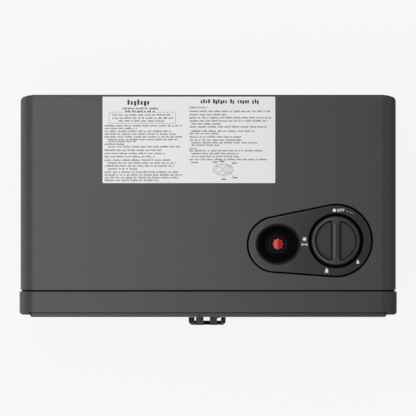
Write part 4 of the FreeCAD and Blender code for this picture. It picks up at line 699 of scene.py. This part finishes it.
@dataclass(frozen=True)
class LabelPrint:
    """Greeked print: rows of small blocks in two columns, a box and a drawing. Lengths in millimetres."""

    wardrobe: Wardrobe
    surface: float = 149.2
    sunk: float = 0.02
    ink: float = 0.03
    rim: float = 0.01
    rim_width: float = 0.75
    rim_gap: float = 0.05
    box: tuple[float, float, float, float] = (-103.4, 65.6, 26.4, 111.0)
    left_x: float = -100.6
    right_x: float = -18.3

    def film(self, thickness: float) -> Film:
        """Empty layer of that thickness on the label."""
        return Film(self.surface - self.sunk, self.surface + thickness)

    def column(self, left: float, places: list[float], ends: list[float], inset: float,
               set_in: tuple[int, ...]) -> list[Row]:
        """Rows of a column.

        Args:
            left: Left edge of the column.
            places: Place of each row from the front.
            ends: How far each row reaches from the column's edge.
            inset: How far some rows are set in.
            set_in: Numbers of those rows.

        Returns:
            The rows, listed from the back edge forwards.
        """
        starts = inset * np.isin(np.arange(len(places)), set_in)
        return [Row(left + a, left + b, c) for a, b, c in zip(starts.tolist(), ends, places)]

    def rows(self) -> list[Row]:
        """Rows of the two columns and of the box.

        Returns:
            The rows, column by column.
        """
        left_places = [82.4, 79.8, 77.0, 74.3, 71.6, 68.9, 67.1, 64.4, 61.9, 58.5, 55.3, 52.2, 48.8, 46.0,
                       43.1, 40.2, 37.1, 34.3, 31.6, 29.1]
        left_ends = [75, 30.5, 64, 69.5, 75.6, 70.7, 30.5, 19, 73.2, 55.5, 59.7, 49.4, 65.2, 69,
                     67.7, 32.3, 71.3, 76.2, 72, 53.7]
        right_places = [100.3, 96.6, 93.3, 90.3, 87.2, 84.3, 81.4, 77.2, 74.8, 71.5, 68.5, 65.8, 63.5, 60.2,
                        58.0, 55.2, 52.4, 49.4, 46.6]
        right_ends = [18.3, 79.3, 37.2, 81.1, 77.4, 30.5, 75.6, 64.6, 29.3, 50.6, 50.6, 68.3, 29.9, 7.6,
                      71.3, 48.8, 48.8, 76.2, 9.1]
        return [
            *self.column(self.left_x, left_places, left_ends, 2.4, (5, 6, 8, 13, 15)),
            *self.column(self.right_x, right_places, right_ends, 1.8, (5, 7, 11, 12, 15, 16, 18)),
            Row(-93.9, -35.2, 93.0),
            Row(-93.6, -34.0, 90.0),
            Row(-88.1, -41.0, 87.1),
        ]

    def headings(self) -> list[Row]:
        """Large rows over the two columns and the two lines under the left one.

        Returns:
            The rows.
        """
        return [
            Row(-79.0, -50.5, 104.9, block=2.5, gap=0.70, height=3.6, word=3.2),
            Row(-7.3, 51.6, 106.0, block=1.9, gap=0.50, height=2.9, word=2.4),
            Row(-83.9, -47.2, 99.4, block=0.95, gap=0.35, height=1.35, word=1.2),
            Row(-81.1, -50.2, 96.6, block=0.95, gap=0.35, height=1.35, word=1.2),
        ]

    def greek(self, film: Film, row: Row, chance: np.random.Generator) -> None:
        """Fills a row with blocks of uneven height, set in words of two to nine blocks.

        Args:
            film: Layer that takes the blocks.
            row: The row.
            chance: Source of the word lengths and heights.
        """
        shortest, longest, narrowest = 2, 9, 0.72
        tall_from, rise_share, low_to, drop_share = 0.72, 0.35, 0.12, 0.28
        pitch = row.block + row.gap
        count = int((row.right - row.left) / pitch)
        breaks = np.cumsum(chance.integers(shortest, longest + 1, size=count) + 1)
        kept = np.setdiff1d(np.arange(count), breaks)
        left = row.left + kept * pitch
        left = left + (row.word - pitch) * np.searchsorted(breaks, kept)
        left = left[left < row.right - row.block]
        shape = chance.random(len(left))
        rise = np.where(shape > tall_from, rise_share, 0.0) * row.height
        drop = np.where(shape < low_to, drop_share, 0.0) * row.height
        wide = row.block * (narrowest + (1.0 - narrowest) * chance.random(len(left)))
        half = row.height / 2
        film.blocks(np.column_stack([left, left + wide, row.y - half - drop, row.y + half + rise]))

    def text(self) -> None:
        """Small rows in grey ink and headings in dark ink, all drawn from one source of chance."""
        chance = np.random.default_rng(7)
        prints = (("label_rows", "ink_grey", self.rows()), ("label_headings", "ink_dark", self.headings()))
        for name, ink, rows in prints:
            film = self.film(self.ink)
            for row in rows:
                self.greek(film, row, chance)
            film.piece(name, ink, "label_film", self.wardrobe)

    def boxed_rows(self) -> None:
        """Thin box with round corners about three rows, and a mark before each row of the left column."""
        left, right, low, high, r, line = -97.0, -32.0, 84.8, 95.8, 1.2, 0.28
        mark_at, mark_half_x, mark_half_y = self.left_x - 0.75, 0.3, 0.45
        film = self.film(self.ink)
        corners = ((right - r, high - r), (left + r, high - r), (left + r, low + r), (right - r, low + r))
        turns = [arc(x, y, r, 90 * k, 90 * (k + 1), count=7) for k, (x, y) in enumerate(corners)]
        film.ribbon(np.concatenate(turns), line, closed=True)
        y = np.array([row.y for row in self.rows() if row.left == self.left_x])
        x = np.full(len(y), mark_at)
        film.blocks(np.column_stack([x - mark_half_x, x + mark_half_x, y - mark_half_y, y + mark_half_y]))
        film.piece("label_box", "ink_grey", "label_film", self.wardrobe)

    def drawing(self) -> None:
        """Drawing of an oval plate with two rings, a slot, five leaders and a bar at the end of each."""
        plate, plate_half, plate_line = (14.6, 39.7), (9.6, 5.4), 0.35
        rings, ring_end = ((10.4, 39.7, 3.0), (18.6, 39.9, 3.7)), 352.5
        line, leader_line = 0.30, 0.28
        slot = ((17.4, 37.4), (17.4, 42.4), (19.8, 42.4), (19.8, 37.4))
        leaders = (((9.6, 41.8), (7.0, 46.2)), ((14.0, 43.0), (13.6, 46.8)), ((20.6, 42.2), (24.4, 45.2)),
                   ((21.0, 37.2), (25.0, 32.4)), ((15.6, 36.0), (15.3, 31.0)))
        bars = ((6.7, 47.1), (13.6, 47.7), (25.6, 46.0), (26.4, 31.6), (15.2, 30.1))
        bar_half_x, bar_half_y = 2.3, 0.45
        film = self.film(self.ink)
        film.ribbon(plate + circle(0.0, 0.0, 1.0, count=72) * plate_half, plate_line, closed=True)
        for ring in rings:
            film.ribbon(arc(*ring, 0.0, ring_end, count=40), line, closed=True)
        film.ribbon(slot, line, closed=True)
        for leader in leaders:
            film.ribbon(leader, leader_line)
        x, y = np.array(bars).T
        film.blocks(np.column_stack([x - bar_half_x, x + bar_half_x, y - bar_half_y, y + bar_half_y]))
        film.piece("label_drawing", "ink_dark", "label_film", self.wardrobe)

    def margin(self) -> None:
        """Unprinted bright rim of the film, less than a millimetre wide."""
        left, right, low, high = self.box
        gap, w = self.rim_gap, self.rim_width
        film = self.film(self.rim)
        film.blocks([
            (left + gap, right - gap, high - w, high - gap), (left + gap, right - gap, low + gap, low + w),
            (left + gap, left + w, low + w, high - w), (right - w, right - gap, low + w, high - w),
        ])
        film.piece("label_rim", "label_margin", "label_film", self.wardrobe)

    def build(self) -> None:
        """Builds the whole print."""
        self.margin()
        self.text()
        self.boxed_rows()
        self.drawing()


# ---- Painted shade in recesses, and the igniter's mouth ring -------------------------------------
def carried(base: np.ndarray, normal: np.ndarray, section: np.ndarray) -> tuple[np.ndarray, list]:
    """Closed profile carried round a closed path.

    A corner lies at the path's point plus the normal times the profile's distance there, at the
    profile's height.

    Args:
        base: Points of the path, counter-clockwise, in millimetres.
        normal: Outward unit normal at each point.
        section: Corners of the profile, clockwise: distance outwards from the path, and height.

    Returns:
        Corners in metres and faces.
    """
    flat = base[:, None, :] + normal[:, None, :] * section[None, :, :1]
    height = np.broadcast_to(section[None, :, 1:], (*flat.shape[:2], 1))
    points = np.concatenate([flat, height], -1).reshape(-1, 3) * MM
    return points, wrapped_grid(len(base), len(section), close_rows=True)


@dataclass(frozen=True)
class Recesses:
    """Dark pieces of painted shade in the panel's groove, the knob's recesses and the door's small hole, and
    a dark red ring in the igniter's mouth.

    Lengths in millimetres.
    """

    wardrobe: Wardrobe
    small: Triple = (65.8, -33.85, 27.3)
    large: Triple = (125.15, -29.9, 35.3)
    half_gap: float = 0.87
    groove_floor: float = 145.6
    groove_edge: float = 148.6
    outer_lip: Pair = (0.16, 0.27)
    inner_lip: Pair = (0.08, 0.30)
    skin: float = 0.1
    knob: Pair = middle_of("gas_knob")
    recess: Pair = (20.4, 3.6)
    recess_inset: float = 0.5
    recess_line: float = 0.9
    recess_heights: Pair = (142.45, 142.62)
    hole: Pair = (-8.7, -103.55)
    hole_radius: float = 0.72
    hole_depths: Pair = (1.0, 0.35)
    mouth: Pair = (20.8, 19.0)
    ring_height: float = 148.1
    ring_radius: float = 0.42

    def groove(self) -> None:
        """Painted shade: a dark channel in the gap round the control panel, its lips on the rounded edges of
        the gap.

        The path is the outline round two circles. Along the outline the normal turns once; where it
        lies within the tangent angle of the line from the small circle to the large one, the point
        belongs to the large circle, and elsewhere to the small one.
        """
        (x0, y0, r0), (x1, y1, r1) = self.small, self.large
        towards = math.degrees(math.atan2(y1 - y0, x1 - x0))
        tangent = math.degrees(math.acos((r0 - r1) / math.hypot(x1 - x0, y1 - y0)))
        near = arc(0.0, 0.0, 1.0, towards - tangent, towards + tangent, count=110)
        far = arc(0.0, 0.0, 1.0, towards + tangent, 360 + towards - tangent, count=90)
        base = np.concatenate([(x1, y1) + r1 * near, (x0, y0) + r0 * far])
        w, low, high, inner = self.half_gap, self.groove_floor, self.groove_edge, self.half_gap - self.skin
        outer_lip = (w + self.outer_lip[0], high + self.outer_lip[1])
        inner_lip = (w + self.inner_lip[0], high + self.inner_lip[1])
        outside = np.array([outer_lip, (w, high), (w, low)])
        inside = np.array([(inner, low + self.skin), (inner, high), inner_lip])
        mirror = (-1.0, 1.0)
        section = np.concatenate([outside, outside[::-1] * mirror, inside[::-1] * mirror, inside])
        points, faces = carried(base, np.concatenate([near, far]), section)
        place_piece("panel_groove_shade", points, faces, "painted_shade_black", "root",
                    self.wardrobe)

    def knob_lines(self) -> None:
        """Painted shade: dark lines at the foot of the knob's two finger recesses, each a bow and its chord.
        """
        film = Film(*self.recess_heights)
        radius, half = self.recess[0] - self.recess_inset, self.recess[1] + self.recess_inset
        reach = math.degrees(math.acos(half / radius))
        for middle in (0.0, 180.0):
            bow = arc(*self.knob, radius, middle - reach, middle + reach, count=60)
            film.ribbon(bow, self.recess_line, closed=True)
        film.piece("knob_recess_shade", "painted_shade_black", "black_plastic", self.wardrobe, "knob")

    def door_hole(self) -> None:
        """Painted shade: a dark disc at the foot of the small hole in the upper edge of the door."""
        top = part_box("front_door")[1].z / MM
        film = Film(*(top - depth for depth in self.hole_depths))
        film.polygon(circle(*self.hole, self.hole_radius, count=36))
        film.piece("door_hole_shade", "painted_shade_black", "black_plastic", self.wardrobe, "door")

    def mouth_ring(self) -> None:
        """Dark red ring just inside the igniter's oval mouth, of round section.

        A point of the oval is the unit circle's times the half axes, and its normal runs along the unit
        circle's point divided by them.
        """
        around = np.linspace(0.0, 2 * math.pi, 120, endpoint=False)
        half = np.array(self.mouth)
        unit = np.column_stack([np.cos(around), np.sin(around)])
        normal = unit / half
        normal /= np.linalg.norm(normal, axis=1)[:, None]
        section = arc(0.0, self.ring_height, self.ring_radius, 360.0, 30.0, count=12)
        points, faces = carried(middle_of("igniter_cup") + unit * half, normal, section)
        place_piece("igniter_mouth_ring", points, faces, "mouth_red", "root",
                    self.wardrobe, smooth=True)

    def build(self) -> None:
        """Builds the pieces of painted shade and the ring."""
        self.groove()
        self.knob_lines()
        self.door_hole()
        self.mouth_ring()


# ---- Threads and springs -------------------------------------------------------------------------
@dataclass(frozen=True)
class Thread:
    """Screw thread round a connector, pointing to the front. Lengths in millimetres."""

    wardrobe: Wardrobe
    name: str
    x: float
    radius: float
    start: float
    length: float
    z: float = 64.0
    pitch: float = 1.8
    depth: float = 0.55
    sunk: float = 0.1
    end_step: float = 0.12
    columns: int = 96
    rows_per_pitch: int = 12

    def build(self) -> None:
        """Builds the thread.

        A point at angle a and distance s along the axis lies at the core's radius plus the depth times
        a triangle wave of s over the pitch less a over a full turn; the wave fades out at both ends,
        which lie a step further in.
        """
        rows = int(self.length / self.pitch * self.rows_per_pitch)
        angle = np.linspace(0, 2 * math.pi, self.columns, endpoint=False)
        s, a = np.meshgrid(np.linspace(0, self.length, rows), angle, indexing="ij")
        phase = (s / self.pitch - a / (2 * math.pi)) % 1.0
        wave = 1.0 - np.abs(2.0 * phase - 1.0)
        fade = np.clip(np.minimum(s, self.length - s) / self.pitch, 0.0, 1.0)
        reach = self.radius - self.sunk + self.depth * wave * fade - self.end_step * (fade <= 0)
        points = np.stack([self.x + reach * np.cos(a), self.start - s, self.z + reach * np.sin(a)], -1)
        place_piece(self.name, points.reshape(-1, 3) * MM, capped_grid(rows, self.columns),
                    "brass", "root", self.wardrobe, smooth=True)


@dataclass(frozen=True)
class Spring:
    """Coil spring that stands on its low end.

    It stands in for the rigid spring of the CAD. Lengths in millimetres.
    """

    wardrobe: Wardrobe
    name: str
    node: str
    joint: str
    x: float
    y: float
    low: float
    high: float
    radius: float
    turns: float
    travel: float
    wire: float = 0.5
    columns: int = 12
    rows_per_turn: int = 28

    def build(self) -> None:
        """Builds the spring.

        A point at angle a along the coil and angle b round the wire lies at the coil's radius plus the
        wire's times cosine b from the axis, and at a height that rises evenly with a, less the wire's
        radius times sine b.
        """
        rows = int(self.turns * self.rows_per_turn) + 1
        angle = np.linspace(0, 2 * math.pi * self.turns, rows)
        around = np.linspace(0, 2 * math.pi, self.columns, endpoint=False)
        a, b = np.meshgrid(angle, around, indexing="ij")
        reach = self.radius + self.wire * np.cos(b)
        rise = self.low + self.wire + (self.high - self.low - 2 * self.wire) * a / angle[-1]
        height = rise - self.wire * np.sin(b)
        points = np.stack([self.x + reach * np.cos(a), self.y + reach * np.sin(a), height], -1)
        piece = place_piece(self.name, points.reshape(-1, 3) * MM, capped_grid(rows, self.columns),
                            "screw_steel", "root", self.wardrobe, smooth=True)
        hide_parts(self.node)
        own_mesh(piece)


# ---- Studio --------------------------------------------------------------------------------------
@dataclass(frozen=True)
class Lamp:
    """Rectangular soft lamp: where it hangs, the point that it faces, and its width and length.

    Radiance is the light that it gives off per area and solid angle; its power is pi times area times
    that.
    """

    name: str
    place: Triple
    aim: Triple
    size: Pair
    radiance: float

    def hang(self) -> None:
        """Puts the lamp into the scene."""
        data = bpy.data.lights.new(self.name, "AREA")
        data.shape = "RECTANGLE"
        data.size, data.size_y = self.size
        data.energy = math.pi * self.size[0] * self.size[1] * self.radiance
        lamp = bpy.data.objects.new(self.name, data)
        lamp.location = self.place
        towards = Vector(self.aim) - Vector(self.place)
        lamp.rotation_euler = towards.to_track_quat("-Z", "Y").to_euler()
        lamp.visible_camera = False
        bpy.context.scene.collection.objects.link(lamp)


@dataclass(frozen=True)
class Studio:
    """Floor, lamps, surroundings and camera."""

    picture_px: float = 416.0
    mm_per_px: float = 0.9804
    centre: Pair = (-0.0002, 0.0020)
    top_z: float = 0.1375
    lens_mm: float = 800.0
    sensor_mm: float = 36.0
    far_end: float = 50.0
    lamps: tuple[Lamp, ...] = (
        Lamp("overhead", (-0.24, 0.0, 1.05), (-0.24, 0.0, 0.0), (0.48, 2.8), 2.40),
        Lamp("left", (-1.2, 0.0, 0.18), (0.0, 0.0, 0.18), (2.0, 0.24), 1.3),
        Lamp("back", (0.0, 1.2, 0.28), (0.0, 0.0, 0.28), (2.0, 0.40), 0.8),
    )
    sheet_roughness: float = 0.9
    floor_half: float = 6.0
    floor_grey: float = 0.5
    glow_share: float = 0.88
    glow_level: float = 1.01
    flag_grey: float = 0.28
    sky_levels: tuple[Pair, ...] = ((0.05, 0.93), (0.10, 0.42), (0.80, 0.42), (0.90, 0.15))

    def camera(self) -> None:
        """Camera straight above the case, far away behind a long lens."""
        width = self.picture_px * self.mm_per_px * MM
        distance = self.lens_mm / self.sensor_mm * width
        data = bpy.data.cameras.new("camera")
        data.lens = self.lens_mm
        data.sensor_width = self.sensor_mm
        data.clip_end = self.far_end
        camera = bpy.data.objects.new("camera", data)
        camera.location = (*self.centre, self.top_z + distance)
        bpy.context.scene.collection.objects.link(camera)
        bpy.context.scene.camera = camera

    def sheet(self, name: str, corners: list[Triple], grey: float) -> bpy.types.Object:
        """Flat rough sheet that belongs to the studio.

        Args:
            name: Name of the sheet.
            corners: Its four corners.
            grey: Level of its colour.

        Returns:
            The sheet.
        """
        mesh = bpy.data.meshes.new(name)
        mesh.from_pydata(corners, [], [(0, 1, 2, 3)])
        sheet = bpy.data.objects.new(name, mesh)
        bpy.context.scene.collection.objects.link(sheet)
        made = bpy.data.materials.new(name)
        made.use_nodes = True
        shader = made.node_tree.nodes["Principled BSDF"]
        shader.inputs["Base Color"].default_value = (grey, grey, grey, 1.0)
        shader.inputs["Roughness"].default_value = self.sheet_roughness
        mesh.materials.append(made)
        return sheet

    def floor(self) -> None:
        """Pale floor that also shows pale in the picture and in reflections, and keeps the shadow."""
        half, level = self.floor_half, self.glow_level
        corners = [(-half, -half, 0), (half, -half, 0), (half, half, 0), (-half, half, 0)]
        nodes = Nodes(self.sheet("floor", corners, self.floor_grey).active_material.node_tree)
        glow = nodes.add("ShaderNodeEmission", {"Color": (level, level, level, 1.0)})
        path = nodes.add("ShaderNodeLightPath").outputs
        seen = nodes.math("MAXIMUM", path["Is Camera Ray"], path["Is Glossy Ray"])
        seen = nodes.math("MAXIMUM", seen, path["Is Transmission Ray"])
        share = nodes.math("MULTIPLY", seen, self.glow_share)
        mix = nodes.add("ShaderNodeMixShader")
        rough = nodes.tree.nodes["Principled BSDF"]
        for source, target in zip((share, rough.outputs[0], glow.outputs[0]), mix.inputs):
            nodes.feed(source, target)
        nodes.feed(mix.outputs[0], nodes.tree.nodes["Material Output"].inputs["Surface"])

    def flags(self) -> None:
        """Two dark cards at the right, outside the picture, that keep the pale floor out of reflections."""
        near, far, wide, low, high = 0.27, 1.4, 1.2, 0.002, 0.24
        lying = [(near, -wide, low), (far, -wide, low), (far, wide, low), (near, wide, low)]
        upright = [(far, -wide, 0.0), (far, wide, 0.0), (far, wide, high), (far, -wide, high)]
        for name, corners in (("flag_lying", lying), ("flag_upright", upright)):
            flag = self.sheet(name, corners, self.flag_grey)
            flag.visible_camera = flag.visible_shadow = flag.visible_diffuse = False

    def sky(self) -> None:
        """Surroundings by height: pale at the horizon, even above it, dim overhead."""
        world = bpy.data.worlds.new("surroundings")
        world.use_nodes = True
        nodes = Nodes(world.node_tree)
        place = nodes.add("ShaderNodeTexCoord").outputs["Generated"]
        height = nodes.add("ShaderNodeSeparateXYZ", {"Vector": place}).outputs["Z"]
        ramp = nodes.add("ShaderNodeValToRGB")
        stops = ramp.color_ramp.elements
        stops.remove(stops[0])
        stops[0].position = 1.0
        for share, level in self.sky_levels:
            stops.new(share).color = (level, level, level, 1.0)
        stops[-1].color = stops[-2].color
        nodes.feed(height, ramp.inputs[0])
        nodes.feed(ramp.outputs["Color"], nodes.tree.nodes["Background"].inputs["Color"])
        bpy.context.scene.world = world

    def build(self) -> None:
        """Sets everything up."""
        self.camera()
        for lamp in self.lamps:
            lamp.hang()
        self.floor()
        self.flags()
        self.sky()
        bpy.context.scene.view_settings.view_transform = "Standard"


def main() -> None:
    """Builds the scene."""
    logging.basicConfig(level=logging.INFO)
    wardrobe = Wardrobe()
    wardrobe.dress_nodes()
    ControlPrint(wardrobe).build()
    LabelPrint(wardrobe).build()
    Recesses(wardrobe).build()
    Thread(wardrobe, "thread_water_in", x=-140.0, radius=10.48, start=-64.0, length=16.0).build()
    Thread(wardrobe, "thread_water_out", x=-96.0, radius=10.48, start=-64.0, length=16.0).build()
    Thread(wardrobe, "thread_gas_in", x=132.0, radius=7.9, start=-64.0, length=14.0, pitch=1.4,
           depth=0.45).build()
    Spring(wardrobe, "knob_coil", "knob_spring", "knob_push", x=125.0, y=-30.05, low=119.5,
           high=128.46, radius=4.6, turns=4.0, travel=3.0).build()
    Spring(wardrobe, "igniter_coil", "igniter_spring", "igniter_push", x=68.35, y=-33.4, low=118.0,
           high=127.96, radius=4.4, turns=5.0, travel=5.0).build()
    Studio().build()


if __name__ == "__main__":
    main()
